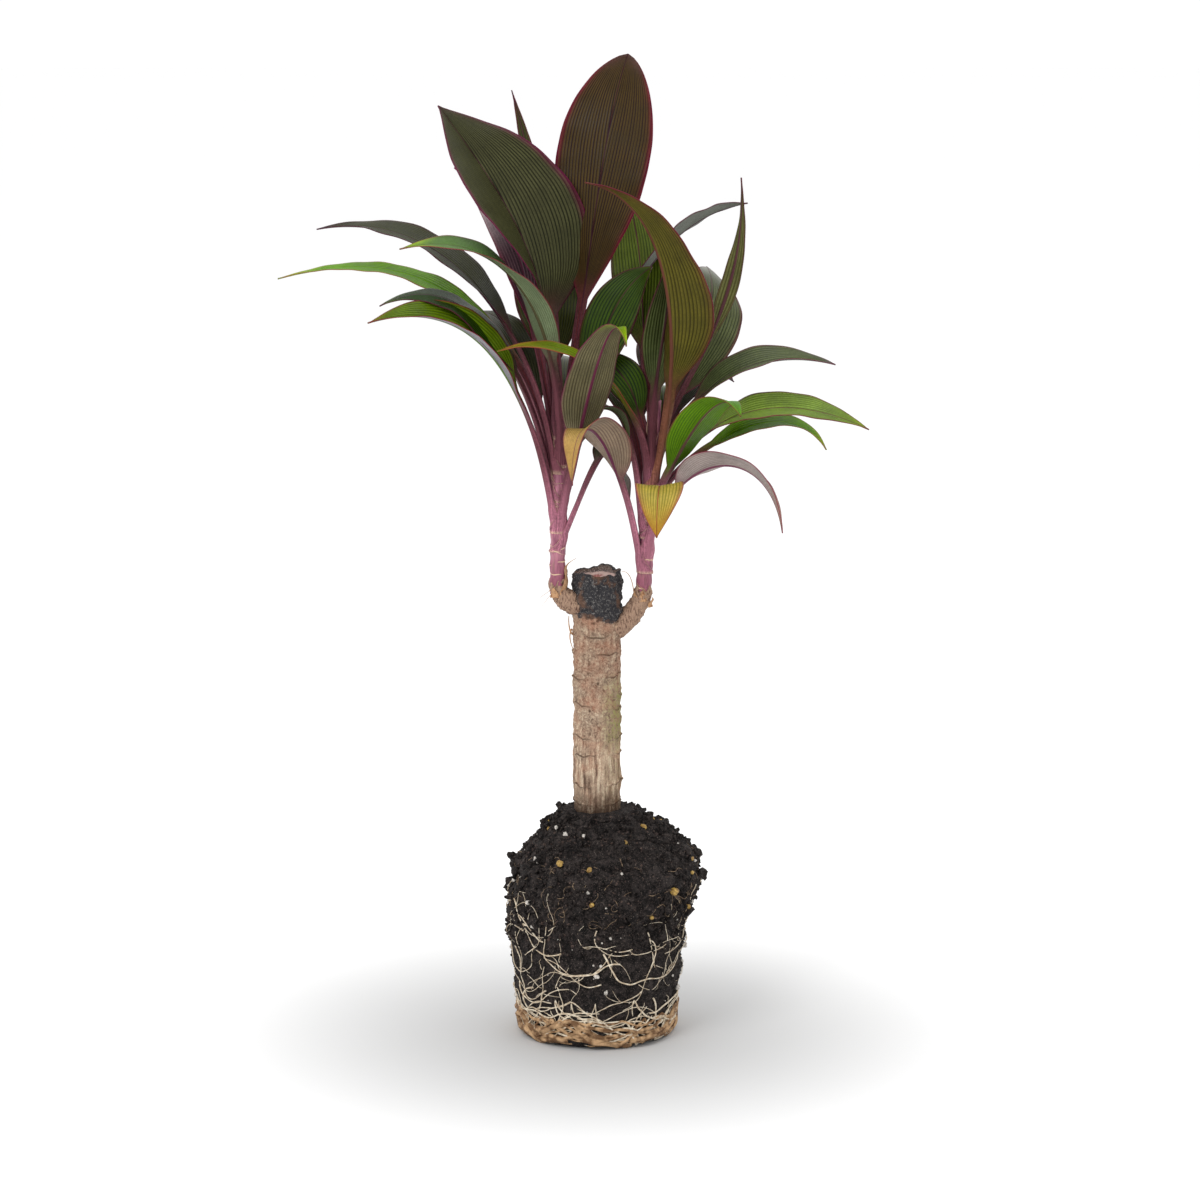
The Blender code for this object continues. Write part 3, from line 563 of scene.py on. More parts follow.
def leaf_piece(leaf, seed, settings, materials):
    """One leaf: a channelled petiole that opens into a blade with a midrib and waved margins."""
    look = LOOKS[leaf.look]
    bm, across, along = sheet_grid(settings.across, settings.along)
    along = along + 0.05 * np.sin(2.0 * math.pi * along)  # closer rows at both ends
    length = leaf_line(leaf)[1]
    along = along * (1.0 + SHEATH / length) - SHEATH / length
    centre, side, normal, _ = leaf_frames(leaf, along)
    half = 0.5 * blade_width(leaf, along)
    share = spread(across, half)
    u = blade_share(leaf, along)
    opened = ramp(along, leaf.petiole * 0.55, leaf.petiole + 0.16)

    # The petiole clasps the stem at its base, and is a channel that opens as the blade widens.
    up = along * length + SHEATH
    clasp = np.exp(-up / (5.5 * MM))
    girth = stem_radius(leaf.shoot, leaf.foot * MM) + (0.25 + 1.0 * ramp(up, 0.0, SHEATH)) * MM
    arc = half + (math.pi * girth - half) * clasp
    bend = np.radians(84.0) * (1.0 - opened)
    bend = np.maximum(bend + (arc / girth - bend) * np.minimum(2.2 * clasp, 1.0), 1e-4)
    angle = share * bend
    x = arc / bend * np.sin(angle)
    z = arc / bend * (1.0 - np.cos(angle))
    blade = ramp(along, leaf.petiole, leaf.petiole + 0.15)
    z = z + np.abs(x) * np.tan(np.radians(leaf.fold) * blade)

    # Waves along the margins, soft buckles between the veins and the midrib's furrow.
    rng = np.random.default_rng(seed)
    phase = rng.uniform(0.0, 2.0 * math.pi, 6)
    run = along * length / MM
    reach = np.abs(share)
    wave = run * 2.0 * math.pi / rng.uniform(34.0, 46.0)
    wave = np.sin(wave + phase[0] + np.sign(share) * phase[1])
    wave += 0.5 * np.sin(run * 2.0 * math.pi / rng.uniform(17.0, 23.0) + phase[2] * np.sign(share))
    lively = np.sin(math.pi * np.clip(u, 0.0, 1.0)) ** 0.6
    z = z + look.wave * MM * wave * reach**2.2 * lively
    z = z + 0.35 * MM * np.sin(run / 9.0 + phase[3] + 2.0 * share) * lively * reach
    furrow = np.exp(-((x / (0.9 * MM)) ** 2)) * (1.0 - 0.75 * u)
    z = z - 0.35 * MM * furrow * opened

    # Thickness, as a share of the petiole's: it swells along the midrib.
    thin = settings.thickness / settings.stalk
    rib = (settings.midrib / settings.stalk - thin) * (1.0 - 0.72 * u)
    stalk = 0.55 + 0.45 * np.exp(-((share / 0.5) ** 2))
    thick = thin + rib * np.exp(-((x / (0.95 * MM)) ** 2))
    stalk = stalk * (0.3 + 0.7 * ramp(up, 0.0, 0.9 * SHEATH))
    thick = thick * opened + stalk * (1.0 - opened)
    z = z - 0.5 * (thick - thin) * settings.stalk * opened

    points = centre - side * x[:, None] + normal * z[:, None]
    settle(bm, points)
    weights = bm.verts.layers.deform.verify()
    for vert, share_here in zip(bm.verts, thick):
        vert[weights][0] = float(min(share_here, 1.0))
    obj = finish_piece(bm, leaf.name.replace("leaf_", "blade_"), materials, (leaf.name,))
    obj.vertex_groups.new(name="thickness")
    shell = obj.modifiers.new("thickness", "SOLIDIFY")
    shell.thickness, shell.offset = settings.stalk, 0.0
    shell.vertex_group, shell.thickness_vertex_group = "thickness", 0.0
    shell.material_offset = 1
    shell.material_offset_rim = 0
    paint_leaf(obj.data, leaf, look, settings, rng, x, half, share, along, u, up / MM, centre)
    return obj


def pigment(code):
    """A leaf's own colour: what is seen of it, less the white light that its wax gives back."""
    seen = np.array(linear(code))
    return np.append(np.maximum((seen[:3] - WAX_LIGHT) * UNDER_WAX, DARKEST), 1.0)


def paint_leaf(mesh, leaf, look, settings, rng, x, half, share, along, u, up, centre):
    """Numbers and colours that the leaf's two materials read."""
    tone = {key: pigment(getattr(look, key)) for key in Look._fields[:8]}
    tone = {
        key: row * np.array([rng.uniform(0.94, 1.06)] * 3 + [1.0]) for key, row in tone.items()
    }
    edge = (1.0 - np.abs(share)) * half / MM
    blush = np.exp(-edge / max(0.7 * look.blush, 0.1)) * 0.75 * ramp(u, 0.0, 0.1)
    ripe = ramp(u + 0.06 * np.abs(share), look.ripe, min(look.ripe + 0.35, 1.05))
    stalk = 1.0 - ramp(along, leaf.petiole * 0.72, leaf.petiole + 0.13)
    young = 1.0 - ramp(centre[:, 2] / MM + 5.0 * share, 334.0, 378.0)
    hem = 0.8 * (1.0 - ramp(up, 6.0, 22.0)) * ramp(np.abs(share), 0.9, 1.0)
    hem = hem + np.exp(-(up / 0.8) ** 2)

    def mixed(base, *layers):
        rows = np.tile(base, (len(x), 1))
        for amount, to in layers:
            rows = rows + (to - rows) * amount[:, None]
        return rows

    foot = (
        (0.85 * young * stalk, np.array(linear(FOOT_PINK))), (0.75 * hem, np.array(linear(HEM)))
    )
    inside = np.array(linear(CHANNEL_RED))
    layers = ((blush, tone["margin"]), (ripe, tone["tip"]), (stalk, tone["petiole"]),
              (0.6 * stalk * (1.0 - ramp(np.abs(share), 0.3, 0.7)), inside), *foot)
    put_colours(mesh, "face", mixed(tone["upper"], *layers))
    put_colours(mesh, "face_streak", mixed(tone["streak"], *layers))
    under = (
        (0.5 * blush, tone["margin"]), (0.7 * ripe, tone["tip"]), (stalk, tone["petiole"]), *foot
    )
    put_colours(mesh, "back", mixed(tone["under"], *under))
    put_colours(mesh, "back_streak", mixed(tone["under_streak"], *under))
    put_colours(mesh, "margin", mixed(tone["margin"], (stalk, tone["petiole"]), *foot))
    put_colours(mesh, "midrib", mixed(tone["midrib"], (stalk, tone["petiole"]), *foot))
    put_numbers(mesh, "edge", edge)
    put_numbers(mesh, "rib", np.abs(x) / MM / (1.0 - 0.6 * u))
    veins = 0.5 * leaf.width * MM / settings.vein
    put_numbers(mesh, "vein", veins * (np.abs(share) - 0.3 * u))
    put_numbers(mesh, "stalk", stalk)
    put_numbers(mesh, "across", x / MM)
    put_uv(mesh, 0.5 + x * 6.0, along * 0.9 + 0.05)


def leaf_material(name, face, rib_width, roughness, relief):
    """Blade of a living leaf: waxy, with veins that run out from the midrib to the tip."""
    mat, tree, shader = new_material(name, ior=1.45, specular_ior_level=0.14)
    told = {
        key: add_node(tree, ATTRIBUTE, attribute_name=key).outputs["Fac"]
        for key in ("vein", "stalk", "across", "edge", "rib")
    }
    shade = {
        key: add_node(tree, ATTRIBUTE, attribute_name=key).outputs["Color"]
        for key in (face, face + "_streak", "margin", "midrib")
    }
    place = add_node(tree, "ShaderNodeTexCoord").outputs["Object"]
    # 14 mm patches that shift the tone, and 1.4 mm flecks that break up the veins
    patch = add_node(tree, NOISE, {"Vector": place, "Scale": 72.0, "Detail": 3.0})
    fleck = add_node(tree, NOISE, {"Vector": place, "Scale": 720.0, "Detail": 3.0})
    turn = add_node(tree, MATH, {0: fleck, 1: 0.16, 2: told["vein"]}, operation="MULTIPLY_ADD")
    turn = add_node(tree, MATH, {0: turn, 1: 2.0 * math.pi}, operation="MULTIPLY")
    swing = add_node(tree, MATH, {0: turn}, operation="SINE")
    # every fourth vein or so is stronger, and all of them come and go along the blade
    slow = add_node(tree, MATH, {0: told["vein"], 1: 1.7}, operation="MULTIPLY")
    slow = add_node(tree, MATH, {0: slow}, operation="SINE")
    strong = add_node(tree, MATH, {0: fleck, 1: 0.9, 2: patch}, operation="MULTIPLY_ADD")
    strong = add_node(tree, MATH, {0: slow, 1: 0.18, 2: strong}, operation="MULTIPLY_ADD")
    strong = add_node(tree, MATH, {0: swing, 1: strong}, operation="ADD")
    line = add_node(tree, RANGE, {0: strong, 1: 1.25, 2: 1.7})
    base = add_node(tree, MIX, {0: line, 6: shade[face], 7: shade[face + "_streak"]},
                    data_type="RGBA")
    for spots, low, high in ((patch, 0.8, 1.25), (fleck, 0.86, 1.16)):
        tone = add_node(tree, RANGE, {0: spots, 1: 0.3, 2: 0.7, 3: low, 4: high})
        base = add_node(tree, MIX, {0: 1.0, 6: base, 7: tone}, data_type="RGBA",
                        blend_type="MULTIPLY")
    # the petiole is drawn out in fine lengthwise lines, light and dark
    lines = add_node(tree, NOISE, {"W": told["across"], "Scale": 1.6, "Detail": 2.0},
                     noise_dimensions="1D")
    lines = add_node(tree, MATH, {0: fleck, 1: 0.25, 2: lines}, operation="MULTIPLY_ADD")
    lines = add_node(tree, RANGE, {0: lines, 1: 0.42, 2: 0.8, 3: 0.62, 4: 1.5})
    drawn = add_node(tree, MIX, {0: 1.0, 6: base, 7: lines}, data_type="RGBA",
                     blend_type="MULTIPLY")
    base = add_node(tree, MIX, {0: told["stalk"], 6: base, 7: drawn}, data_type="RGBA")
    edge = add_node(tree, MATH, {0: fleck, 1: -0.7, 2: told["edge"]}, operation="MULTIPLY_ADD")
    edge = add_node(tree, RANGE, {0: edge, 1: -0.25, 2: 0.2, 3: 0.9, 4: 0.0})
    base = add_node(tree, MIX, {0: edge, 6: base, 7: shade["margin"]}, data_type="RGBA")
    rib = add_node(tree, MATH, {0: fleck, 1: -0.5, 2: told["rib"]}, operation="MULTIPLY_ADD")
    rib = add_node(tree, RANGE, {0: rib, 1: rib_width * 0.4, 2: rib_width * 0.75, 3: 0.9, 4: 0.0})
    base = add_node(tree, MIX, {0: rib, 6: base, 7: shade["midrib"]}, data_type="RGBA")
    tree.links.new(base.outputs[2], shader.inputs["Base Color"])
    sheen = add_node(tree, RANGE, {0: patch, 1: 0.3, 2: 0.7, 3: roughness - 0.08,
                                   4: roughness + 0.08})
    tree.links.new(sheen.outputs[0], shader.inputs["Roughness"])
    ridge = add_node(tree, MATH, {0: turn, 1: 2.0}, operation="MULTIPLY")
    ridge = add_node(tree, MATH, {0: ridge}, operation="SINE")
    ridge = add_node(tree, MATH, {0: ridge, 1: 0.4, 2: swing}, operation="MULTIPLY_ADD")
    bump = add_node(
        tree, "ShaderNodeBump", {"Strength": relief, "Distance": 0.2 * MM, "Height": ridge}
    )
    tree.links.new(bump.outputs[0], shader.inputs["Normal"])
    return mat


# ---------------------------------------------------------------- shoots

STEM_ROWS = 420
STEM_FOOT = "#7c3c50"  # the stem near its collar


def shoot_line(shoot, count):
    """Middle of the shoot from inside the collar to the tip, evenly spaced."""
    line = shoot_axis(shoot, np.linspace(0.0, 1.0, 120))
    down = unit(line[0] - line[1]) * 7.0 * MM
    return even_run(np.concatenate((line[:1] + down, line)), np.linspace(0.0, 1.0, count))


def ringed(line, first_side, rows, around):
    """Directions out of a line at its rows, turned by the angles around it."""
    tangent = unit(np.gradient(line, axis=0))
    out = np.empty((len(rows), 3))
    side = np.asarray(first_side, float)
    for row, ahead in enumerate(tangent):
        side = unit(side - ahead * np.dot(side, ahead))
        up = np.cross(ahead, side)
        here = rows == row
        angle = around[here]
        out[here] = side * np.cos(angle)[:, None] + up * np.sin(angle)[:, None]
    return out


def close_tube(bm):
    """Merges the seam of a rolled sheet, caps its ends and turns its faces outwards."""
    bmesh.ops.remove_doubles(bm, verts=bm.verts[:], dist=WELD)
    bmesh.ops.holes_fill(bm, edges=[e for e in bm.edges if e.is_boundary], sides=100)
    bmesh.ops.recalc_face_normals(bm, faces=bm.faces[:])


def stem_piece(shoot, mat):
    """Young pink stem with thin pale rings where its first leaves dropped."""
    bm, across, along = sheet_grid(48, STEM_ROWS)
    line, _ = shoot_line(shoot, STEM_ROWS + 1)
    rows = np.rint(along * STEM_ROWS).astype(int)
    around = across * math.pi
    out = ringed(line, heading(90.0, shoot.side), rows, around)
    centre = line[rows]
    z = centre[:, 2] / MM
    radius = stem_radius(shoot, centre[:, 2])
    ring = np.zeros(len(z))
    for k, height in enumerate(shoot.rings):
        tilt = 1.5 * np.sin(around + 2.1 * k) + 0.5 * np.sin(3.0 * around + k)
        strength = 0.7 + 0.3 * np.sin(2.0 * around + 3.0 * k)
        ring += np.exp(-(((z + tilt - height) / 0.45) ** 2)) * strength
    swell = 0.25 * np.sin(z * 0.62 + 0.6 * np.sin(around)) * (1.0 - ramp(z, 325.0, 345.0))
    radius = radius + (0.32 * ring + swell + 0.12 * np.sin(around * 5.0 + z * 0.15)) * MM
    radius = radius * (1.0 - 0.85 * ramp(along, 0.985, 1.0))
    settle(bm, centre + out * radius[:, None])
    ring_layer = bm.verts.layers.float.new("ring")
    for vert, value in zip(bm.verts, ring):
        vert[ring_layer] = float(value)
    close_tube(bm)
    return finish_piece(bm, shoot.name.replace("shoot", "stem"), (mat,), (shoot.name,))


def stem_material(colours):
    """Young stem: smooth, taut and slightly waxy, pink with darker patches and pale rings."""
    mat, tree, shader = new_material("young_pink_stem", ior=1.45, specular_ior_level=0.45)
    place = add_node(tree, "ShaderNodeTexCoord").outputs["Object"]
    # 4 mm patches and 0.9 mm lines, drawn out to 12 and 13 mm along the stem
    drawn = add_node(tree, "ShaderNodeMapping", {"Vector": place, "Scale": (1.0, 1.0, 0.35)})
    patch = add_node(tree, NOISE, {"Vector": drawn, "Scale": 240.0, "Detail": 4.0})
    lined = add_node(tree, "ShaderNodeMapping", {"Vector": place, "Scale": (1.0, 1.0, 0.07)})
    lines = add_node(tree, NOISE, {"Vector": lined, "Scale": 1100.0, "Detail": 2.0})
    share = add_node(tree, RANGE, {0: patch, 1: 0.42, 2: 0.68})
    base = add_node(tree, MIX, {0: share, 6: (*colours.pink, 1.0), 7: (*colours.plum, 1.0)},
                    data_type="RGBA")
    grey = add_node(tree, RANGE, {0: patch, 1: 0.42, 2: 0.3, 4: 0.6})
    base = add_node(tree, MIX, {0: grey, 6: base, 7: (*colours.green, 1.0)}, data_type="RGBA")
    # the stem is a deeper plum near its collar
    level = add_node(tree, "ShaderNodeSeparateXYZ", {0: place}).outputs["Z"]
    deep = add_node(tree, MATH, {0: patch, 1: 24.0 * MM, 2: level}, operation="MULTIPLY_ADD")
    deep = add_node(tree, RANGE, {0: deep, 1: 326.0 * MM, 2: 306.0 * MM, 4: 0.8})
    base = add_node(tree, MIX, {0: deep, 6: base, 7: linear(STEM_FOOT)}, data_type="RGBA")
    tone = add_node(tree, RANGE, {0: lines, 1: 0.3, 2: 0.7, 3: 0.72, 4: 1.28})
    base = add_node(tree, MIX, {0: 1.0, 6: base, 7: tone}, data_type="RGBA",
                    blend_type="MULTIPLY")
    ring = add_node(tree, ATTRIBUTE, attribute_name="ring")
    ragged = add_node(tree, MATH, {0: patch, 1: 0.9, 2: ring.outputs["Fac"]},
                      operation="MULTIPLY_ADD")
    pale = add_node(tree, RANGE, {0: ragged, 1: 0.85, 2: 1.15, 4: 0.85})
    base = add_node(tree, MIX, {0: pale, 6: base, 7: (*colours.ring, 1.0)}, data_type="RGBA")
    tree.links.new(base.outputs[2], shader.inputs["Base Color"])
    rough = add_node(tree, RANGE, {0: patch, 1: 0.3, 2: 0.7, 3: 0.28, 4: 0.5})
    tree.links.new(rough.outputs[0], shader.inputs["Roughness"])
    bump = add_node(
        tree, "ShaderNodeBump", {"Strength": 0.4, "Distance": 0.15 * MM, "Height": patch}
    )
    tree.links.new(bump.outputs[0], shader.inputs["Normal"])
    return mat


# ---------------------------------------------------------------- cane

# Leaf-scar rings: height, how far the ring tilts, and the bearing that it rises towards.
SCARS = (
    (154, 1.2, 90), (166, 1.5, 40), (184, 2.0, 300), (197, 1.2, 120), (216, 2.2, 200),
    (236, 1.4, 20), (250, 1.8, 250), (264, 1.6, 100),
)
# Dormant buds, chips and the knot: bearing, height, half width, half height, stand.
MARKS = (
    (272, 232, 2.6, 3.4, 1.1), (252, 214, 2.4, 3.0, 1.0), (321, 246, 2.2, 2.6, 1.0),
    (350, 222, 2.0, 2.4, 1.4), (352, 207, 2.2, 2.6, 1.3), (354, 167, 2.4, 2.6, 1.3),
    (80, 226, 2.6, 3.2, 1.1), (130, 196, 2.4, 3.0, 1.0), (30, 176, 2.4, 3.0, 1.0),
    (205, 189, 2.2, 2.8, 0.9),
)
BARK_FLAKE = "#d6c2a8"  # pale flakes between the cracks
SCAR_BROWN = "#4c382c"  # scar rings and the hollows of buds
SOILED = "#3e2c20"  # bark just above the peat
SINGED = "#6c5040"  # browned patches of the burnt bark
SAW_FUZZ = "#e8d8cc"  # pale torn fibres on the sawn face


def bark_relief(bearing, height, radius):
    """How far the bark stands out, in mm, and how much of a scar ring it is."""
    ring = 0.0
    for scar, tilt, rise in SCARS:
        middle = scar + tilt * math.cos(bearing - math.radians(rise))
        middle += 0.7 * math.sin(5.0 * bearing + scar)
        middle += 0.5 * math.sin(11.0 * bearing + 2.0 * scar)
        away = (height - middle) / (0.45 if height > middle else 1.1)
        ring = max(ring, math.exp(-away * away) * (0.65 + 0.35 * math.sin(3.0 * bearing + scar)))
    point = Vector((radius * math.cos(bearing), radius * math.sin(bearing), height))
    furrow = noise.noise(Vector((point.x * 0.42, point.y * 0.42, height * 0.05)))
    grain = noise.noise(Vector((point.x * 2.2, point.y * 2.2, height * 0.3 + 40.0)))
    lump = noise.noise(point * 0.16)
    knotted = max(0.0, min(1.0, (height - 186.0) / 14.0)) * noise.noise(point * 0.55)
    out = 0.7 * knotted + 1.2 * ring + 0.75 * furrow + 0.3 * grain + 0.8 * lump
    for side, middle, wide, tall, stand in MARKS:
        away = (bearing - math.radians(side) + math.pi) % (2.0 * math.pi) - math.pi
        away = math.hypot(away * radius / wide, (height - middle) / tall)
        if away < 2.5:
            out += stand * math.exp(-away * away) - 1.0 * math.exp(-((away / 0.4) ** 2))
            ring = max(ring, 1.1 * math.exp(-((away / 0.42) ** 2)))
    return out, ring


def char_relief(bearing, height, radius):
    """How far the burnt bark stands out, in mm: cracked scales and blisters."""
    point = Vector((radius * math.cos(bearing), radius * math.sin(bearing), height))
    scale = noise.voronoi(Vector((point.x * 0.24, point.y * 0.24, height * 0.16)))[0]
    crack = min(1.0, 3.0 * (scale[1] - scale[0]))
    out = 0.8 * crack - 0.9 + 2.0 * noise.noise(point * 0.12) + 0.9 * noise.noise(point * 0.35)
    return out + 0.4 * noise.noise(point * 0.9)


def rim_rise(bearing):
    """How far the burnt rim stands above or below its mean height."""
    across = Vector((math.cos(bearing), math.sin(bearing), 0.3))
    rise = 1.5 * noise.noise(across * 1.7) + 0.7 * noise.noise(across * 5.0)
    back = max(0.0, math.cos(bearing - math.radians(68.0))) ** 6
    corner = max(0.0, math.cos(bearing - math.radians(12.0))) ** 16
    return (rise + 2.6 * back + 1.6 * corner) * MM


def cane_outline(settings):
    """The cane's outline from its foot up over the burnt rim to the middle of the cut."""
    step = 0.55 * MM
    low = np.arange(settings.foot, settings.top - 1.0 * MM, step)
    swell = settings.scorch_radius - settings.radius
    radius = settings.radius + swell * ramp(low, settings.scorch_foot - 4.0 * MM,
                                            settings.scorch_foot + 2.0 * MM)
    lip = [
        (settings.scorch_radius - 0.5 * MM, settings.top - 0.5 * MM),
        (settings.scorch_radius - 1.3 * MM, settings.top),
        (settings.cut + 0.9 * MM, settings.top - 0.2 * MM),
        (settings.cut + 0.2 * MM, settings.top - 1.0 * MM),
    ]
    cut = [(settings.cut * share, settings.top - 1.4 * MM) for share in np.linspace(1.0, 0.0, 22)]
    return list(zip(radius, low)) + lip + cut


def cane_piece(settings, mat):
    """The cane: bark with scar rings and buds, a burnt rim and the sawn face, in one skin."""
    bm = turned(cane_outline(settings), 150)
    rings, chars, cuts = [], [], []
    for vert in bm.verts:
        x, y, z = vert.co
        radius, bearing = math.hypot(x, y), math.atan2(y, x)
        ragged = 7.0 * noise.noise(vert.co * 90.0) + 3.0 * noise.noise(vert.co * 420.0)
        char = z + ragged * MM
        char = float(ramp(char, settings.scorch_foot - 0.8 * MM, settings.scorch_foot + 0.8 * MM))
        on_cut = radius < settings.cut + 0.3 * MM and z > settings.top - 1.6 * MM
        bark, ring = bark_relief(bearing, z / MM, settings.radius / MM)
        burnt = char_relief(bearing, z / MM, settings.radius / MM)
        out = (bark + (burnt - bark) * char) * MM
        if on_cut:
            share = radius / settings.cut
            saw = 0.25 * noise.noise(Vector((x * 900.0, y * 160.0, 0.0)))
            dip = 0.5 * math.exp(-((radius / (4.0 * MM)) ** 2))
            lump = 0.8 * noise.noise(Vector((x * 160.0, y * 160.0, 3.0)))
            vert.co.z = z + (saw + lump - dip) * MM * (1.0 - share**6) - 0.9 * MM
            vert.co.z += share**3 * 0.4 * rim_rise(bearing)
        elif radius > 0.0:
            vert.co.x, vert.co.y = x * (1.0 + out / radius), y * (1.0 + out / radius)
            near = float(ramp(z, settings.top - 9.0 * MM, settings.top - 0.5 * MM))
            vert.co.z = z + near * (rim_rise(bearing) + 0.4 * out)
        rings.append(ring * (1.0 - char))
        chars.append(0.0 if on_cut else char)
        cuts.append(1.0 if on_cut else 0.0)
    bmesh.ops.recalc_face_normals(bm, faces=bm.faces[:])
    obj = finish_piece(bm, "cane_bark", (mat,), ("cane",))
    put_numbers(obj.data, "ring", rings)
    put_numbers(obj.data, "char", chars)
    put_numbers(obj.data, "cut", cuts)
    return obj


def bark_material(colours):
    """Dry corky bark, finely cracked lengthwise, burnt black at the top round a sawn face."""
    mat, tree, shader = new_material("dry_cane_bark", ior=1.45, specular_ior_level=0.2)
    told = {
        key: add_node(tree, ATTRIBUTE, attribute_name=key).outputs["Fac"]
        for key in ("ring", "char", "cut")
    }
    place = add_node(tree, "ShaderNodeTexCoord").outputs["Object"]
    split = add_node(tree, "ShaderNodeSeparateXYZ", {0: place})
    level, across = split.outputs["Z"], split.outputs["X"]
    # 2 mm cracks drawn out to 16 mm lengthwise, 3 mm wrinkles, 10 mm weathered patches, grit
    drawn = add_node(tree, "ShaderNodeMapping", {"Vector": place, "Scale": (1.0, 1.0, 0.12)})
    crack = add_node(tree, NOISE, {"Vector": drawn, "Scale": 520.0, "Detail": 5.0,
                                   "Roughness": 0.62})
    wrinkle = add_node(tree, NOISE, {"Vector": place, "Scale": 330.0, "Detail": 5.0,
                                     "Roughness": 0.66, "Distortion": 1.4})
    patch = add_node(tree, NOISE, {"Vector": place, "Scale": 100.0, "Detail": 4.0})
    grit = add_node(tree, NOISE, {"Vector": place, "Scale": 1500.0, "Detail": 3.0})
    # the middle of the cane is knotted, its foot and its neck cracked lengthwise
    knotted = add_node(tree, RANGE, {0: level, 1: 182.0 * MM, 2: 204.0 * MM, 3: 0.2, 4: 0.7})
    lines = add_node(tree, MIX, {0: knotted, 2: crack, 3: wrinkle})
    bark, dark = (*colours.bark, 1.0), (*colours.bark_dark, 1.0)
    share = add_node(tree, RANGE, {0: lines, 1: 0.5, 2: 0.38})
    base = add_node(tree, MIX, {0: share, 6: bark, 7: dark}, data_type="RGBA")
    share = add_node(tree, RANGE, {0: lines, 1: 0.52, 2: 0.6, 4: 0.85})
    base = add_node(tree, MIX, {0: share, 6: base, 7: linear(BARK_FLAKE)}, data_type="RGBA")
    # reddish patches, with more of them above 190 to 240 mm
    upper = add_node(tree, RANGE, {0: level, 1: 190.0 * MM, 2: 240.0 * MM, 3: 0.0, 4: 0.14})
    stained = add_node(tree, MATH, {0: upper, 1: patch}, operation="ADD")
    share = add_node(tree, RANGE, {0: stained, 1: 0.5, 2: 0.8, 4: 0.7})
    base = add_node(tree, MIX, {0: share, 6: base, 7: (*colours.stain, 1.0)}, data_type="RGBA")
    for spots, low, high in ((patch, 0.78, 1.22), (grit, 0.72, 1.24)):
        tone = add_node(tree, RANGE, {0: spots, 1: 0.3, 2: 0.7, 3: low, 4: high})
        base = add_node(tree, MIX, {0: 1.0, 6: base, 7: tone}, data_type="RGBA",
                        blend_type="MULTIPLY")
    # green film on the right, from 185 to 240 mm up
    film = add_node(tree, RANGE, {0: wrinkle, 1: 0.44, 2: 0.58, 3: 0.05, 4: 0.85})
    for along, low, high, least in ((across, 1.0, 12.0, 0.0), (level, 240.0, 222.0, 0.0),
                                    (level, 184.0, 198.0, 0.25)):
        part = add_node(tree, RANGE, {0: along, 1: low * MM, 2: high * MM, 3: least})
        film = add_node(tree, MATH, {0: film, 1: part}, operation="MULTIPLY")
    base = add_node(tree, MIX, {0: film, 6: base, 7: (*colours.algae, 1.0)}, data_type="RGBA")
    ring = add_node(tree, MATH, {0: wrinkle, 1: 0.9, 2: told["ring"]}, operation="MULTIPLY_ADD")
    ring = add_node(tree, RANGE, {0: ring, 1: 0.85, 2: 1.35, 4: 0.85})
    base = add_node(tree, MIX, {0: ring, 6: base, 7: linear(SCAR_BROWN)}, data_type="RGBA")
    soiled = add_node(tree, MATH, {0: wrinkle, 1: -34.0 * MM, 2: level}, operation="MULTIPLY_ADD")
    soiled = add_node(tree, RANGE, {0: soiled, 1: 148.0 * MM, 2: 130.0 * MM, 4: 0.9})
    base = add_node(tree, MIX, {0: soiled, 6: base, 7: linear(SOILED)}, data_type="RGBA")
    # burnt bark: ash on the high spots, brown where the fire only singed it
    ash = add_node(tree, MATH, {0: grit, 1: 0.6, 2: wrinkle}, operation="MULTIPLY_ADD")
    ash = add_node(tree, RANGE, {0: ash, 1: 0.82, 2: 1.02, 4: 0.8})
    soot = add_node(tree, MIX, {0: ash, 6: (*colours.char, 1.0), 7: (*colours.ash, 1.0)},
                    data_type="RGBA")
    singed = add_node(tree, RANGE, {0: patch, 1: 0.54, 2: 0.64, 4: 0.75})
    soot = add_node(tree, MIX, {0: singed, 6: soot, 7: linear(SINGED)}, data_type="RGBA")
    base = add_node(tree, MIX, {0: told["char"], 6: base, 7: soot}, data_type="RGBA")
    # the cut: a darker heart, and a scorched rim
    flat = add_node(tree, "ShaderNodeVectorMath", {0: place, 1: (1.0, 1.0, 0.0)},
                    operation="MULTIPLY")
    away = add_node(tree, "ShaderNodeVectorMath", {0: flat}, operation="LENGTH")
    away = add_node(tree, MATH, {0: wrinkle, 1: 9.0 * MM, 2: away.outputs["Value"]},
                    operation="MULTIPLY_ADD")
    share = add_node(tree, RANGE, {0: away, 1: 6.0 * MM, 2: 10.5 * MM})
    wood = add_node(tree, MIX, {0: share, 6: (*colours.heart, 1.0), 7: (*colours.wood, 1.0)},
                    data_type="RGBA")
    share = add_node(tree, RANGE, {0: away, 1: 15.5 * MM, 2: 17.0 * MM, 4: 0.9})
    wood = add_node(tree, MIX, {0: share, 6: wood, 7: (*colours.char, 1.0)}, data_type="RGBA")
    share = add_node(tree, RANGE, {0: grit, 1: 0.5, 2: 0.66, 4: 0.5})
    wood = add_node(tree, MIX, {0: share, 6: wood, 7: linear(SAW_FUZZ)}, data_type="RGBA")
    base = add_node(tree, MIX, {0: told["cut"], 6: base, 7: wood}, data_type="RGBA")
    tree.links.new(base.outputs[2], shader.inputs["Base Color"])
    rough = add_node(tree, RANGE, {0: patch, 1: 0.3, 2: 0.7, 3: 0.76, 4: 0.94})
    tree.links.new(rough.outputs[0], shader.inputs["Roughness"])
    height = add_node(tree, MATH, {0: grit, 1: 0.3, 2: lines}, operation="MULTIPLY_ADD")
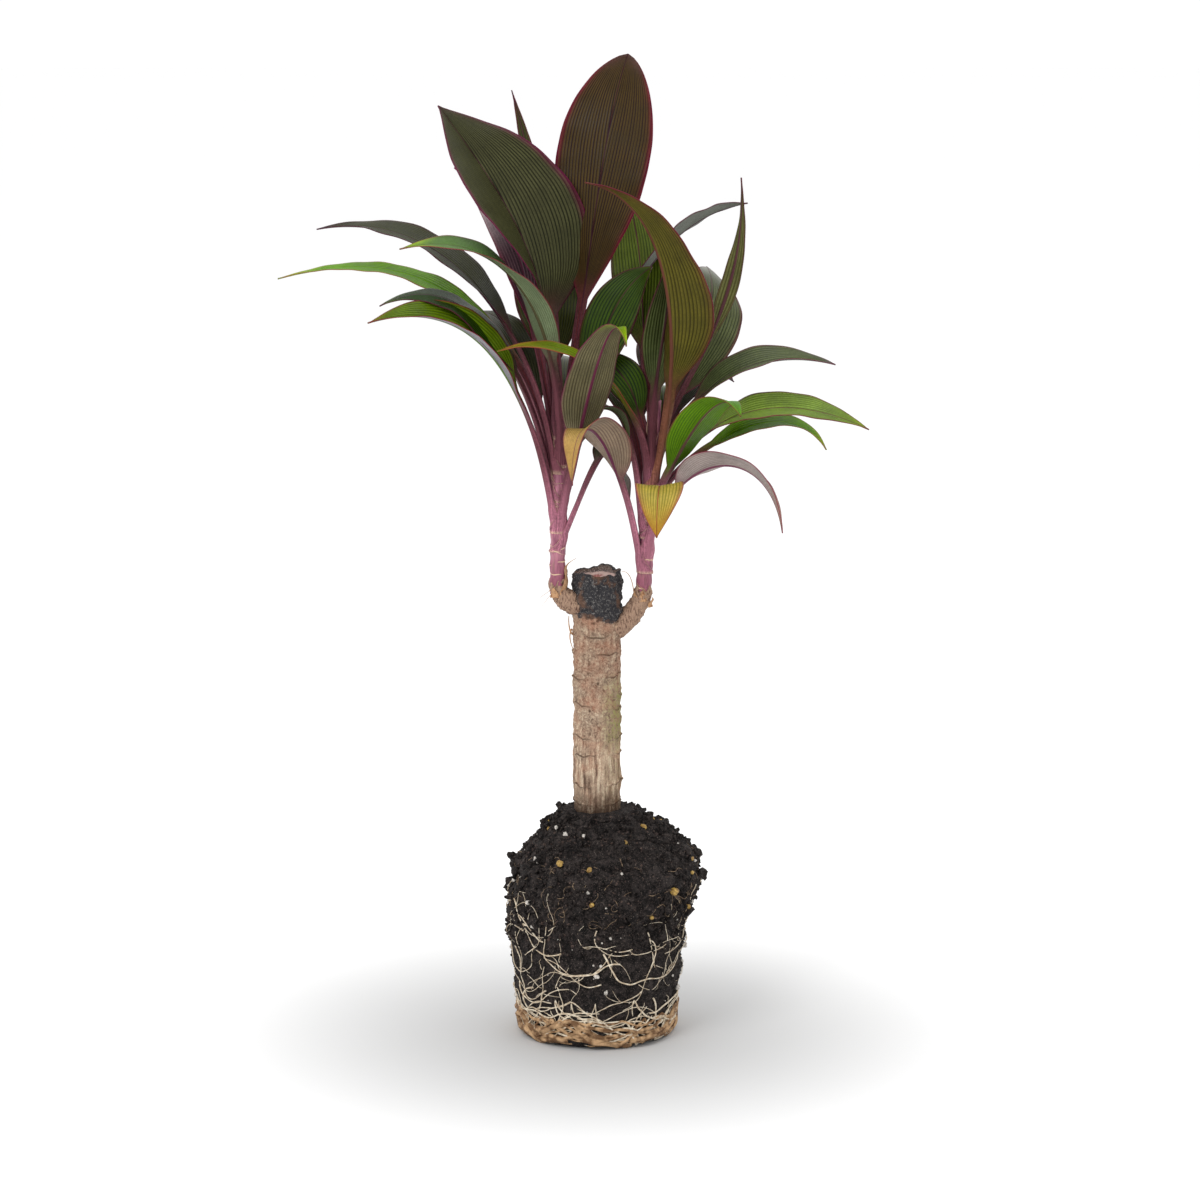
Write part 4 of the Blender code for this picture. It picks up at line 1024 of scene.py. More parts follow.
    bump = add_node(
        tree, "ShaderNodeBump", {"Strength": 1.0, "Distance": 1.6 * MM, "Height": height}
    )
    tree.links.new(bump.outputs[0], shader.inputs["Normal"])
    return mat


# ---------------------------------------------------------------- collars

# Papery scales left on each collar: height, the side that their middle faces (0 right, 90
# back, 180 left, 270 front), half width and length in mm, and how far the tip curls out.
SCALES = {
    "shoot_left": (
        (288, 335, 4.4, 17.0, 1.4), (296, 20, 2.2, 9.0, 0.3), (287, 250, 3.0, 8.0, 1.6),
        (290, 120, 3.0, 9.0, 1.2), (301, 340, 2.0, 15.0, 6.5),
    ),
    "shoot_right": (
        (281, 215, 2.6, 11.0, 1.2), (284, 265, 2.4, 8.0, 0.8), (280, 330, 2.8, 7.0, 1.0),
        (281, 90, 3.0, 9.0, 1.2),
    ),
}
# Loose threads and hair roots: start, two turning points and end as (x, y, z), radius.
THREADS = (
    ((24.0, -4, 284), (23.0, -5, 300), (19.5, -5, 304), (15.5, -6, 303), 0.35),
    ((31.0, -6, 287), (32.5, -7, 293), (27.5, -8, 292), (25.5, -7, 296), 0.22),
    ((-27.0, -7, 291), (-31.0, -8, 292), (-34.0, -9, 288), (-37.5, -9, 286), 0.2),
    ((-28.0, -7, 290), (-32.0, -9, 286), (-33.0, -9, 284), (-35.5, -10, 281), 0.16),
    ((-15.4, -3, 262), (-17.5, -4, 263), (-18.4, -4, 268), (-18.0, -4, 274), 0.7),
    ((-16.0, -5, 266), (-18.6, -6, 262), (-17.0, -6, 257), (-15.0, -6, 252), 0.55),
)
COLLAR_ROWS = 96
TORN_BARK = "#d2b494"  # fresh pale tears in the collars
PAPER, PAPER_DARK = "#b8906c", "#80563c"  # the papery scales and their creases


def collar_line(shoot, count):
    """Middle of the collar, from inside the cane out and up round the shoot."""
    outward = heading(90.0, shoot.side)
    elbow = np.array(shoot.elbow) * MM
    up = np.array((0.0, 0.0, 1.0)) * MM
    start = outward * 4.0 * MM + up * (shoot.height - 9.0)
    ends = (start, start + outward * 11.0 * MM + up * 2.0, elbow - up * 11.0, elbow + up * 1.5)
    return even_run(bezier(ends, np.linspace(0.0, 1.0, 80)), np.linspace(0.0, 1.0, count))


def collar_piece(shoot, seed, mat):
    """Swollen bark collar that runs from the cane up the shoot and ends in a torn edge."""
    bm, across, along = sheet_grid(72, COLLAR_ROWS)
    line, length = collar_line(shoot, COLLAR_ROWS + 1)
    rows = np.rint(along * COLLAR_ROWS).astype(int)
    around = across * math.pi
    out = ringed(line, heading(90.0, shoot.side), rows, around)
    here = np.interp(along, (0.0, 1.0), (0.0, length / MM))
    radius = shoot.radius + 0.6 + (shoot.husk - shoot.radius) * (1.0 - ramp(along, 0.2, 0.98))
    places = line[rows] / MM
    relief = [
        1.0 * noise.noise(Vector(spot) * 0.22 + Vector((seed, 0, 0)))
        + 0.5 * noise.noise(Vector((spot[0] * 0.9, spot[1] * 0.9, spot[2] * 0.25)))
        + 0.35 * noise.noise(Vector(spot) * 1.1)
        for spot in places + out * radius[:, None]
    ]
    fold = 0.35 * np.maximum(0.0, np.sin(here * 1.5 + 1.2 * np.sin(around + seed))) ** 3
    radius = radius + np.array(relief) + fold
    torn = 1.6 * np.sin(around * 3.0 + seed) + 1.1 * np.sin(around * 7.0 + 2.0 * seed)
    lift = torn * ramp(along, 0.8, 0.96)
    lip = ramp(along, 0.955, 1.0)
    radius = radius * (1.0 - lip) + (shoot.radius - 0.4) * lip
    tangent = unit(np.gradient(line, axis=0))[rows]
    settle(bm, line[rows] + out * (radius * MM)[:, None] + tangent * (lift * MM)[:, None])
    close_tube(bm)
    return finish_piece(bm, shoot.name.replace("shoot", "collar"), (mat,))


def scales_piece(shoot, mat):
    """Dry papery scales on the collar, each cupped to the shoot and curling out at its tip."""
    bm = bmesh.new()
    points = []
    for height, facing, half, tall, curl in SCALES[shoot.name]:
        made = bmesh.ops.create_grid(bm, x_segments=8, y_segments=16, size=0.5)["verts"]
        flat = np.array([vert.co[:2] for vert in made])
        side, up = flat[:, 0] * 2.0, flat[:, 1] + 0.5
        narrow = half * (1.0 - up**1.6) + 0.12
        centre = stem_point(shoot, max(height, shoot.elbow[2]) * MM)
        centre = centre - np.array((0.0, 0.0, max(0.0, shoot.elbow[2] - height) * MM))
        out, along_side = heading(90.0, facing), heading(90.0, facing + 90.0)
        reach = shoot.radius + 0.9 + curl * up**2.2 + 0.6 * np.sin(up * 7.0 + half)
        width = side * narrow
        cup = -(width**2) / (2.0 * (shoot.radius + 1.5))
        rise = tall * (up - 0.25 * up**3 * min(curl, 3.0) / 3.0)
        points.extend(
            centre + (out * (reach + cup)[:, None] + along_side * width[:, None]
                      + np.array((0.0, 0.0, 1.0)) * rise[:, None]) * MM
        )
    settle(bm, points)
    bmesh.ops.recalc_face_normals(bm, faces=bm.faces[:])
    obj = finish_piece(bm, shoot.name.replace("shoot", "scales"), (mat,))
    sheet = obj.modifiers.new("paper", "SOLIDIFY")
    sheet.thickness, sheet.offset = 0.3 * MM, 0.0
    return obj


def thread_piece(mat):
    """Loose threads, hair roots and the two dead spurs by the collars."""
    strands = []
    for *turns, thick in THREADS:
        line = bezier(np.array(turns) * MM, np.linspace(0.0, 1.0, 24))
        size_here = thick * MM * (1.0 - 0.6 * np.linspace(0.0, 1.0, 24))
        strands.append(np.column_stack((line, size_here)))
    return strand_piece("dry_threads", strands, mat, sides=2)


def collar_material(name, pale, dark):
    """Dry corky bark of the collars and their papery scales: dull, tan, darker in the creases."""
    mat, tree, shader = new_material(name, ior=1.45, specular_ior_level=0.2)
    place = add_node(tree, "ShaderNodeTexCoord").outputs["Object"]
    # 1 mm fibres drawn out to 3.5 mm lengthwise, and 4 mm stains
    drawn = add_node(tree, "ShaderNodeMapping", {"Vector": place, "Scale": (1.0, 1.0, 0.3)})
    fibre = add_node(tree, NOISE, {"Vector": drawn, "Scale": 950.0, "Detail": 4.0})
    stain = add_node(tree, NOISE, {"Vector": place, "Scale": 260.0, "Detail": 5.0,
                                   "Roughness": 0.7})
    share = add_node(tree, RANGE, {0: fibre, 1: 0.34, 2: 0.52})
    base = add_node(tree, MIX, {0: share, 6: dark, 7: pale}, data_type="RGBA")
    spot = add_node(tree, RANGE, {0: stain, 1: 0.54, 2: 0.7, 4: 0.6})
    base = add_node(tree, MIX, {0: spot, 6: base, 7: dark}, data_type="RGBA")
    torn = add_node(tree, RANGE, {0: stain, 1: 0.42, 2: 0.3, 4: 0.6})
    base = add_node(tree, MIX, {0: torn, 6: base, 7: linear(TORN_BARK)}, data_type="RGBA")
    tree.links.new(base.outputs[2], shader.inputs["Base Color"])
    rough = add_node(tree, RANGE, {0: stain, 1: 0.3, 2: 0.7, 3: 0.72, 4: 0.92})
    tree.links.new(rough.outputs[0], shader.inputs["Roughness"])
    height = add_node(tree, MATH, {0: stain, 1: 1.0, 2: fibre}, operation="MULTIPLY_ADD")
    bump = add_node(
        tree, "ShaderNodeBump", {"Strength": 0.8, "Distance": 0.45 * MM, "Height": height}
    )
    tree.links.new(bump.outputs[0], shader.inputs["Normal"])
    return mat


# ---------------------------------------------------------------- root ball

# Half widths of the heap above the rim, in mm: height, towards the left, towards the right.
HEAP = (
    (92, 56, 64), (104, 52, 66), (113, 52, 66), (122, 45, 59), (131, 36, 50), (140, 29, 33),
    (147, 21, 24),
)
BALL_TOP = 147.0 * MM
# Prills that lie clear on the front of the heap: bearing, height, radius.
PRILLS = ((319, 103, 3.3), (243, 121, 2.5), (265, 119, 2.3), (327, 138, 2.4), (294, 133, 2.1))

# Lumps dealt over the ball, in mm. least, most: their radii. low, high: the heights that they
# lie between. skew: how strongly the small ones outnumber the big ones. stand: how far their
# middles stand out, as a share of their radius. fine: how often their faces are divided.
# dents: depth of their dents. flat: least and most share of the radius that is left.
Lumps = namedtuple("Lumps", "name count least most low high skew stand fine dents flat")
CLODS = Lumps("peat_clods", 420, 1.4, 5.0, 80, 146, 2.2, 0.3, 2, 0.5, (0.35, 1.0))
CRUMBS = Lumps("peat_crumbs", 9000, 0.4, 2.1, 62, 147, 2.2, 0.3, 1, 0.5, (0.35, 1.0))
GRIT = Lumps("peat_grit", 6000, 0.3, 1.2, 3, 86, 2.2, 0.3, 1, 0.5, (0.35, 1.0))
DRY_CRUMBS = Lumps("peat_dry_crumbs", 3200, 0.3, 1.4, 64, 147, 2.2, 0.3, 1, 0.5, (0.35, 1.0))
PRILL_LUMPS = Lumps("prills", 20, 1.4, 2.3, 88, 144, 2.0, 0.55, 2, 0.12, (0.65, 1.0))
PERLITE_LUMPS = Lumps("perlite", 130, 0.4, 2.2, 20, 142, 2.0, 0.55, 2, 0.25, (0.6, 1.0))

# Roots that creep over the ball, in mm and degrees. low, high: heights of their starts.
# course: how steeply they rise, under 0 down. sway: how much they turn at each step. radius:
# their radius at the start. branches: the most twigs on one. level: how strongly they turn
# back to run level.
Roots = namedtuple("Roots", "name count low high course length sway radius branches level")
YOUNG = Roots("young_roots", 50, 26, 86, (-75, 10), (30, 90), 4.5, (0.25, 0.62), 3, 0.0)
CIRCLING = Roots("circling_roots", 46, 3, 22, (-12, 12), (50, 130), 5.0, (0.3, 0.85), 1, 0.06)
OLD = Roots("old_roots", 40, 1.5, 10, (-7, 7), (60, 150), 4.5, (0.7, 2.1), 1, 0.1)
FIBRES = Roots("peat_fibres", 150, 84, 120, (-60, 60), (6, 22), 12.0, (0.14, 0.26), 0, 0.0)
ROOT_STEP = 1.6 * MM
ROOT_LOWEST = 2.0 * MM  # a root that gets this near the underside turns back up

PAINTED_PEAT_GLINT = "#7c7068"  # painted glints of wet peat
DRY_PEAT, DRY_PEAT_PALE = "#3c3230", "#6c5a52"
ROOT_SHADE, OLD_ROOT_SHADE = "#b8a48a", "#6a4a2c"
FIBRE, FIBRE_SHADE = "#a08a70", "#5c4838"
PRILL_SHADE, PERLITE_SHADE = "#7a5a28", "#a8a49c"


def ball_radius(settings, bearing, height):
    """Radius of the root ball's mean surface, for arrays of bearings and heights."""
    knots = [0.0, settings.foot_round, settings.rim_height] + [row[0] * MM for row in HEAP]
    low = [settings.foot_radius, settings.foot_radius, settings.rim_radius]
    left = np.interp(height, knots, low + [row[1] * MM for row in HEAP])
    far = np.interp(height, knots, low + [row[2] * MM for row in HEAP])
    turn = settings.foot_round
    corner = np.clip(1.0 - np.asarray(height) / turn, 0.0, 1.0)
    right = 0.5 + 0.5 * np.cos(bearing)
    return left + (far - left) * right - turn * (1.0 - np.sqrt(1.0 - corner**2))


def crumble(settings, bearing, height):
    """In-and-out of the crumbly surface, dying away at the flat underside."""
    z = np.asarray(height) / MM
    wave = np.sin(5.0 * bearing + 0.11 * z) * np.sin(0.23 * z + 1.3)
    wave = wave + 0.6 * np.sin(11.0 * bearing - 0.07 * z + 0.8)
    wave = wave + 0.5 * np.sin(3.0 * bearing + 0.31 * z + 2.0)
    fade = np.minimum(z / 30.0, 1.0) * (0.5 + 0.5 * np.minimum(z / 90.0, 1.0))
    return settings.crumb * wave * fade


def ball_spots(settings, bearing, height, lift):
    """Points on the ball, a little off it by lift, and the directions out of it."""
    bearing, height = np.asarray(bearing, float), np.asarray(height, float)
    radius = ball_radius(settings, bearing, height) + crumble(settings, bearing, height)
    step = 1.5 * MM
    slope = ball_radius(settings, bearing, height + step)
    slope = slope - ball_radius(settings, bearing, height - step)
    out = np.stack((np.cos(bearing), np.sin(bearing), -slope / (2.0 * step)), axis=-1)
    out = unit(out)
    points = np.stack((radius * np.cos(bearing), radius * np.sin(bearing), height), axis=-1)
    return points + out * np.asarray(lift)[..., None], out


def ball_piece(settings, mat):
    """The root ball: flat underside, tapered side from the pot and a crumbly heap on top."""
    turn, foot = settings.foot_round, settings.foot_radius
    under = [(share * (foot - turn), 0.0) for share in np.linspace(0.0, 1.0, 10)]
    side = [(foot, height) for height in np.linspace(0.3 * MM, BALL_TOP, 170)]
    top = [(share * 22.0 * MM, BALL_TOP) for share in np.linspace(1.0, 0.6, 8)[1:]]
    bm = turned(under + side + top, 230)
    for vert in bm.verts:
        x, y, z = vert.co
        radius, bearing = math.hypot(x, y), math.atan2(y, x)
        if z <= 0.1 * MM:
            continue
        point = Vector((x, y, z)) / MM
        on_top = radius < foot - 0.1 * MM
        if not on_top:
            radius = float(ball_radius(settings, bearing, z) + crumble(settings, bearing, z))
            point = Vector((radius * math.cos(bearing), radius * math.sin(bearing), z)) / MM
        loose = 0.45 + 0.55 * float(ramp(z, 68.0 * MM, 96.0 * MM))
        lump = 2.0 * noise.noise(point * 0.13)
        lump += 1.3 * noise.noise(point * 0.33 + Vector((9, 0, 0)))
        lump = loose * (lump + 0.7 * abs(noise.noise(point * 0.8)))
        lump += 0.35 * noise.noise(point * 1.7)
        lump *= min(1.0, z / (12.0 * MM))
        if on_top:
            vert.co.z = z + 0.6 * lump * MM
            continue
        radius += lump * MM
        lift = 0.5 * lump * MM * float(ramp(z, 100.0 * MM, 140.0 * MM))
        vert.co = (radius * math.cos(bearing), radius * math.sin(bearing), z + lift)
    bmesh.ops.recalc_face_normals(bm, faces=bm.faces[:])
    return finish_piece(bm, "peat_ball", (mat,), ("root_ball",))


def peat_material(name, damp, dry, least_rough):
    """Peat: dull crumbs, nearly black where damp, with small painted glints."""
    mat, tree, shader = new_material(name, ior=1.4, specular_ior_level=0.18)
    place = add_node(tree, "ShaderNodeTexCoord").outputs["Object"]
    # 5 mm damp patches, 1.8 mm crumbs and 0.7 mm painted glints
    patch = add_node(tree, NOISE, {"Vector": place, "Scale": 190.0, "Detail": 4.0})
    crumb = add_node(tree, NOISE, {"Vector": place, "Scale": 560.0, "Detail": 6.0,
                                   "Roughness": 0.7})
    mixed = add_node(tree, MATH, {0: patch, 1: 0.6, 2: crumb}, operation="MULTIPLY_ADD")
    share = add_node(tree, RANGE, {0: mixed, 1: 0.72, 2: 1.0})
    base = add_node(tree, MIX, {0: share, 6: damp, 7: dry}, data_type="RGBA")
    # painted glints: small pale spots that stand in for light caught by wet crumbs
    glint = add_node(tree, NOISE, {"Vector": place, "Scale": 1500.0, "Detail": 3.0})
    glint = add_node(tree, RANGE, {0: glint, 1: 0.6, 2: 0.7, 4: 0.8})
    base = add_node(tree, MIX, {0: glint, 6: base, 7: linear(PAINTED_PEAT_GLINT)}, data_type="RGBA")
    tree.links.new(base.outputs[2], shader.inputs["Base Color"])
    rough = add_node(tree, RANGE, {0: crumb, 1: 0.35, 2: 0.65, 3: least_rough, 4: 0.95})
    tree.links.new(rough.outputs[0], shader.inputs["Roughness"])
    bump = add_node(
        tree, "ShaderNodeBump", {"Strength": 1.0, "Distance": 2.0 * MM, "Height": crumb}
    )
    tree.links.new(bump.outputs[0], shader.inputs["Normal"])
    return mat


def grain_material(name, shade, dark, rough, grain_mm, bumpy):
    """A small grain or a root: its own colour, mottled by a darker one every grain_mm."""
    mat, tree, shader = new_material(name, ior=1.45)
    place = add_node(tree, "ShaderNodeTexCoord").outputs["Object"]
    spot = add_node(tree, NOISE, {"Vector": place, "Scale": 1000.0 / grain_mm, "Detail": 3.0})
    share = add_node(tree, RANGE, {0: spot, 1: 0.62, 2: 0.4})
    base = add_node(tree, MIX, {0: share, 6: shade, 7: dark}, data_type="RGBA")
    tree.links.new(base.outputs[2], shader.inputs["Base Color"])
    gloss = add_node(tree, RANGE, {0: spot, 1: 0.3, 2: 0.7, 3: rough - 0.08, 4: rough + 0.08})
    tree.links.new(gloss.outputs[0], shader.inputs["Roughness"])
    bump = add_node(
        tree, "ShaderNodeBump", {"Strength": bumpy, "Distance": 0.2 * MM, "Height": spot}
    )
    tree.links.new(bump.outputs[0], shader.inputs["Normal"])
    return mat


def ball_heights(settings, rng, lumps):
    """Heights of the lumps, as many to each length of the ball's outline."""
    levels = np.linspace(lumps.low * MM, lumps.high * MM, 60)
    knots = [0.0, settings.rim_height] + [row[0] * MM for row in HEAP]
    radii = [settings.foot_radius, settings.rim_radius]
    radii += [0.5 * (left + right) * MM for _, left, right in HEAP]
    radius = np.interp(levels, knots, radii)
    along = np.concatenate(((0.0,), np.cumsum(np.hypot(np.diff(levels), np.diff(radius)))))
    return np.interp(rng.uniform(0.0, along[-1], lumps.count), along, levels)


def lumps_piece(settings, rng, lumps, mat, placed=()):
    """Lumps of one kind over the ball. placed: bearing, height and radius of its first ones."""
    share = rng.uniform(0.0, 1.0, lumps.count) ** lumps.skew
    sizes = (lumps.least + (lumps.most - lumps.least) * share) * MM
    heights = ball_heights(settings, rng, lumps)
    bearings = rng.uniform(0.0, 2.0 * math.pi, lumps.count)
    for k, (bearing, height, radius) in enumerate(placed):
        bearings[k], heights[k], sizes[k] = math.radians(bearing), height * MM, radius * MM
    spots, _ = ball_spots(settings, bearings, heights, sizes * lumps.stand)
    return scatter_piece(lumps, rng, spots, sizes, mat)


def scatter_piece(lumps, rng, points, sizes, mat):
    """Many small lumps joined in one mesh, each turned, squashed and dented its own way."""
    lump = bmesh.new()
    bmesh.ops.create_icosphere(lump, subdivisions=lumps.fine, radius=1.0)
    corners = np.array([vert.co[:] for vert in lump.verts])
    faces = np.array([[vert.index for vert in face.verts] for face in lump.faces])
    lump.free()
    count, each = len(points), len(corners)
    turns = unit(rng.normal(size=(count, 4)))
    w, x, y, z = turns.T
    spin = np.stack((
        1 - 2 * (y * y + z * z), 2 * (x * y - w * z), 2 * (x * z + w * y),
        2 * (x * y + w * z), 1 - 2 * (x * x + z * z), 2 * (y * z - w * x),
        2 * (x * z - w * y), 2 * (y * z + w * x), 1 - 2 * (x * x + y * y),
    ), axis=1).reshape(count, 3, 3)
    scale = rng.uniform(*lumps.flat, (count, 1, 3)) * np.asarray(sizes)[:, None, None]
    dents = 1.0 + lumps.dents * rng.uniform(-1.0, 1.0, (count, each, 1))
    placed = np.einsum("nij,nkj->nki", spin, corners[None] * dents * scale) + points[:, None]
    offset = (np.arange(count) * each)[:, None, None]
    mesh = bpy.data.meshes.new(lumps.name)
    face_rows = (faces[None] + offset).reshape(-1, 3)
    mesh.from_pydata(placed.reshape(-1, 3).tolist(), [], face_rows.tolist())
    return finish_mesh(mesh, lumps.name, (mat,), smooth=False)


def strand_piece(name, strands, mat, sides=1):
    """Tapered strands, such as roots and fibres, drawn as curves and joined in one mesh."""
    curve = bpy.data.curves.new(name, "CURVE")
    curve.dimensions = "3D"
    curve.bevel_depth = MM
    curve.bevel_resolution = sides
    curve.use_fill_caps = True
    for strand in strands:
        spline = curve.splines.new("POLY")
        spline.points.add(len(strand) - 1)
        rows = np.concatenate((strand[:, :3], np.ones((len(strand), 1))), axis=1)
        spline.points.foreach_set("co", rows.ravel())
        spline.points.foreach_set("radius", strand[:, 3] / MM)
    drawn = bpy.data.objects.new(name + "_path", curve)
    bpy.context.scene.collection.objects.link(drawn)
    graph = bpy.context.evaluated_depsgraph_get()
    mesh = bpy.data.meshes.new_from_object(drawn.evaluated_get(graph))
    bpy.data.objects.remove(drawn)
    bpy.data.curves.remove(curve)
    mesh.name = name
    mesh.materials.clear()
    return finish_mesh(mesh, name, (mat,))


def crawl(settings, rng, bearing, height, course, length, sway, thick, thin, level, high):
    """A root that creeps over the ball. course: 0 towards the right round it, 90 up.

    level: how strongly it turns back to run level. high: the height where it turns back down.
    """
    count = max(int(length / ROOT_STEP), 4)
    turn, rows, course = 0.0, [], math.radians(course)
    for _ in range(count):
        turn = 0.75 * turn + rng.normal(0.0, math.radians(sway))
        course += turn - level * math.sin(2.0 * course)
        radius = float(ball_radius(settings, bearing, height))
        bearing += math.cos(course) * ROOT_STEP / radius
        height += math.sin(course) * ROOT_STEP
        if height < ROOT_LOWEST or height > high:
            course, turn = -course, 0.0
            height = min(max(height, ROOT_LOWEST), high)
        rows.append((bearing, height, course))
    rows = np.array(rows)
    share = np.linspace(0.0, 1.0, count)
    size_here = (thick + (thin - thick) * share) * MM * (1.0 + 0.12 * np.sin(share * 40.0))
    dive = 1.0 * MM * (1.0 + 0.45 * np.sin(share * rng.uniform(4.0, 12.0) + rng.uniform(0, 6)))
    dive = dive - 1.2 * MM * ramp(share, 0.9, 1.0) - 1.0 * MM * (1.0 - ramp(share, 0.0, 0.08))
    points, _ = ball_spots(settings, rows[:, 0], rows[:, 1], dive)
    return np.column_stack((points, size_here)), rows


def root_strands(settings, rng, roots):
    """Roots of one kind, with thinner ones that branch off them."""
    strands, roof = [], (1.1 * roots.high + 8.0) * MM
    for _ in range(roots.count):
        start = (rng.uniform(math.pi, 3.0 * math.pi), rng.uniform(roots.low, roots.high) * MM)
        rightwards = rng.random() < 0.5
        way = rng.uniform(*roots.course)
        radius = rng.uniform(*roots.radius)
        strand, rows = crawl(
            settings, rng, *start, way if rightwards else 180.0 - way,
            rng.uniform(*roots.length) * MM, roots.sway, radius, radius * 0.45, roots.level, roof,
        )
        strands.append(strand)
        for _ in range(rng.integers(0, roots.branches + 1)):
            at = rows[rng.integers(len(rows) // 5, len(rows) - 2)]
            turn = math.degrees(at[2]) + rng.choice((-1.0, 1.0)) * rng.uniform(25.0, 65.0)
            twig, _ = crawl(
                settings, rng, at[0], at[1], turn, rng.uniform(8.0, 28.0) * MM,
                roots.sway * 1.3, radius * 0.55, radius * 0.25, roots.level, roof,
            )
            strands.append(twig)
    return strands


# ---------------------------------------------------------------- stage

# the floor's third colour is a painted contact shadow: grey under the plant, fading to white by
# 0.4 m
BOARD, BOARD_TOOTH, BOARD_PAINTED_SHADOW = "#fafafa", "#fcfcfc", "#c4c4c4"
FLOOR_RADIUS, FLOOR_DROP = 30.0, 0.3 * MM
SKY = 1.04
# Soft boxes: place, the point that it faces, its side in metres and its power in watts.
LIGHTS = (
    ("key_box", (-1.1, -1.6, 2.1), (0.0, 0.0, 0.3), 1.0, 20.0),
    ("top_box", (0.2, 0.3, 2.2), (0.0, 0.0, 0.2), 1.2, 13.0),
)
CAMERA_PLACE = (0.0019, -2.166577, 0.665736)
CAMERA_TILT = 80.0  # from straight down
CAMERA_SENSOR, CAMERA_LENS = 36.0, 103.125


def stage_floor():
    """A wide pale floor that runs back out of sight, with a painted contact shadow in its middle.
    """
    mat, tree, shader = new_material("matt_white_board", roughness=0.9, specular_ior_level=0.2)
    place = add_node(tree, "ShaderNodeTexCoord").outputs["Object"]
    # 3 mm paper tooth, only just seen, and a greyer middle that is a painted contact shadow round
    # the plant's foot
    tooth = add_node(tree, NOISE, {"Vector": place, "Scale": 330.0, "Detail": 3.0})
    shade = add_node(tree, MIX, {0: tooth, 6: linear(BOARD), 7: linear(BOARD_TOOTH)},
                     data_type="RGBA")
    away = add_node(tree, "ShaderNodeVectorMath", {0: place}, operation="LENGTH")
    away = add_node(
        tree, RANGE, {0: away.outputs["Value"], 1: 0.06, 2: 0.4}, interpolation_type="SMOOTHSTEP"
    )
    shade = add_node(tree, MIX, {0: away, 6: linear(BOARD_PAINTED_SHADOW), 7: shade}, data_type="RGBA")
    tree.links.new(shade.outputs[2], shader.inputs["Base Color"])
    bm = bmesh.new()
    bmesh.ops.create_circle(bm, cap_ends=True, segments=96, radius=FLOOR_RADIUS)
    bmesh.ops.translate(bm, verts=bm.verts[:], vec=(0.0, 0.0, -FLOOR_DROP))
    mesh = bpy.data.meshes.new("studio_floor")
    bm.to_mesh(mesh)
    bm.free()
    mesh.materials.append(mat)
    floor = bpy.data.objects.new("studio_floor", mesh)
    bpy.context.scene.collection.objects.link(floor)


def stage_light(name, place, aim, size_across, power):
    """A square soft box."""
    data = bpy.data.lights.new(name, "AREA")
    data.shape, data.size, data.energy = "SQUARE", size_across, power
    lamp = bpy.data.objects.new(name, data)
    lamp.location = place
    lamp.rotation_euler = (Vector(aim) - Vector(place)).to_track_quat("-Z", "Y").to_euler()
    bpy.context.scene.collection.objects.link(lamp)


def stage_sky(strength):
    """Even white light from all round."""
    world = bpy.data.worlds.new("studio_white")
    bpy.context.scene.world = world
    world.use_nodes = True
    sky = world.node_tree.nodes["Background"]
    sky.inputs["Color"].default_value = (1.0, 1.0, 1.0, 1.0)
    sky.inputs["Strength"].default_value = strength


def stage_camera():
    """A long lens that looks down on the plant by ten degrees."""
    data = bpy.data.cameras.new("studio_camera")
    data.sensor_width, data.lens = CAMERA_SENSOR, CAMERA_LENS
    data.clip_end = 200.0
    camera = bpy.data.objects.new("studio_camera", data)
    camera.location = CAMERA_PLACE
    camera.rotation_euler = (math.radians(CAMERA_TILT), 0.0, 0.0)
    bpy.context.scene.collection.objects.link(camera)
    bpy.context.scene.camera = camera


# ---------------------------------------------------------------- operators

def plant():
    """The plant's settings in this scene."""
    return bpy.context.scene.ti_plant


class TIPLANT_OT_leaves(bpy.types.Operator):
    """Make every leaf of both shoots"""

    bl_idname = "tiplant.leaves"
    bl_label = "Leaves"

    def execute(self, context):
        face = leaf_material(
            "waxy_leaf_face", "face", rib_width=1.1, roughness=0.36, relief=0.55
        )
        back = leaf_material(
            "dull_leaf_back", "back", rib_width=1.5, roughness=0.52, relief=0.7
        )
        for seed, leaf in enumerate(LEAVES):
            leaf_piece(leaf, seed, plant().leaf, (face, back))
        return {"FINISHED"}


class TIPLANT_OT_shoots(bpy.types.Operator):
    """Make the two pink shoots, their bark collars, dry scales and threads"""

    bl_idname = "tiplant.shoots"
    bl_label = "Shoots"

    def execute(self, context):
        colours = plant().shoot
        skin = stem_material(colours)
        bark = collar_material(
            "dry_collar_bark", (*colours.husk, 1.0), (*colours.husk_dark, 1.0)
        )
        paper = collar_material("dry_papery_scale", linear(PAPER), linear(PAPER_DARK))
        for seed, shoot in enumerate((LEFT, RIGHT)):
            stem_piece(shoot, skin)
            collar_piece(shoot, 2.0 + seed, bark)
            scales_piece(shoot, paper)
        thread_piece(paper)
        return {"FINISHED"}


class TIPLANT_OT_cane(bpy.types.Operator):
    """Make the cane with its scars, burnt stump and sawn face"""

    bl_idname = "tiplant.cane"
    bl_label = "Cane"

    def execute(self, context):
        cane_piece(plant().cane, bark_material(plant().cane))
        return {"FINISHED"}


class TIPLANT_OT_root_ball(bpy.types.Operator):
    """Make the peat of the root ball and the loose crumbs on it"""

    bl_idname = "tiplant.root_ball"
    bl_label = "Root ball"

    def execute(self, context):
        settings = plant().ball
        damp = peat_material("damp_peat", (*settings.peat, 1.0), (*settings.peat_dry, 1.0), 0.6)
        dry = peat_material("dry_peat", linear(DRY_PEAT), linear(DRY_PEAT_PALE), 0.8)
        ball_piece(settings, damp)
        rng = np.random.default_rng(7)
        for lumps, mat in ((CLODS, damp), (CRUMBS, damp), (GRIT, damp), (DRY_CRUMBS, dry)):
            lumps_piece(settings, rng, lumps, mat)
        return {"FINISHED"}


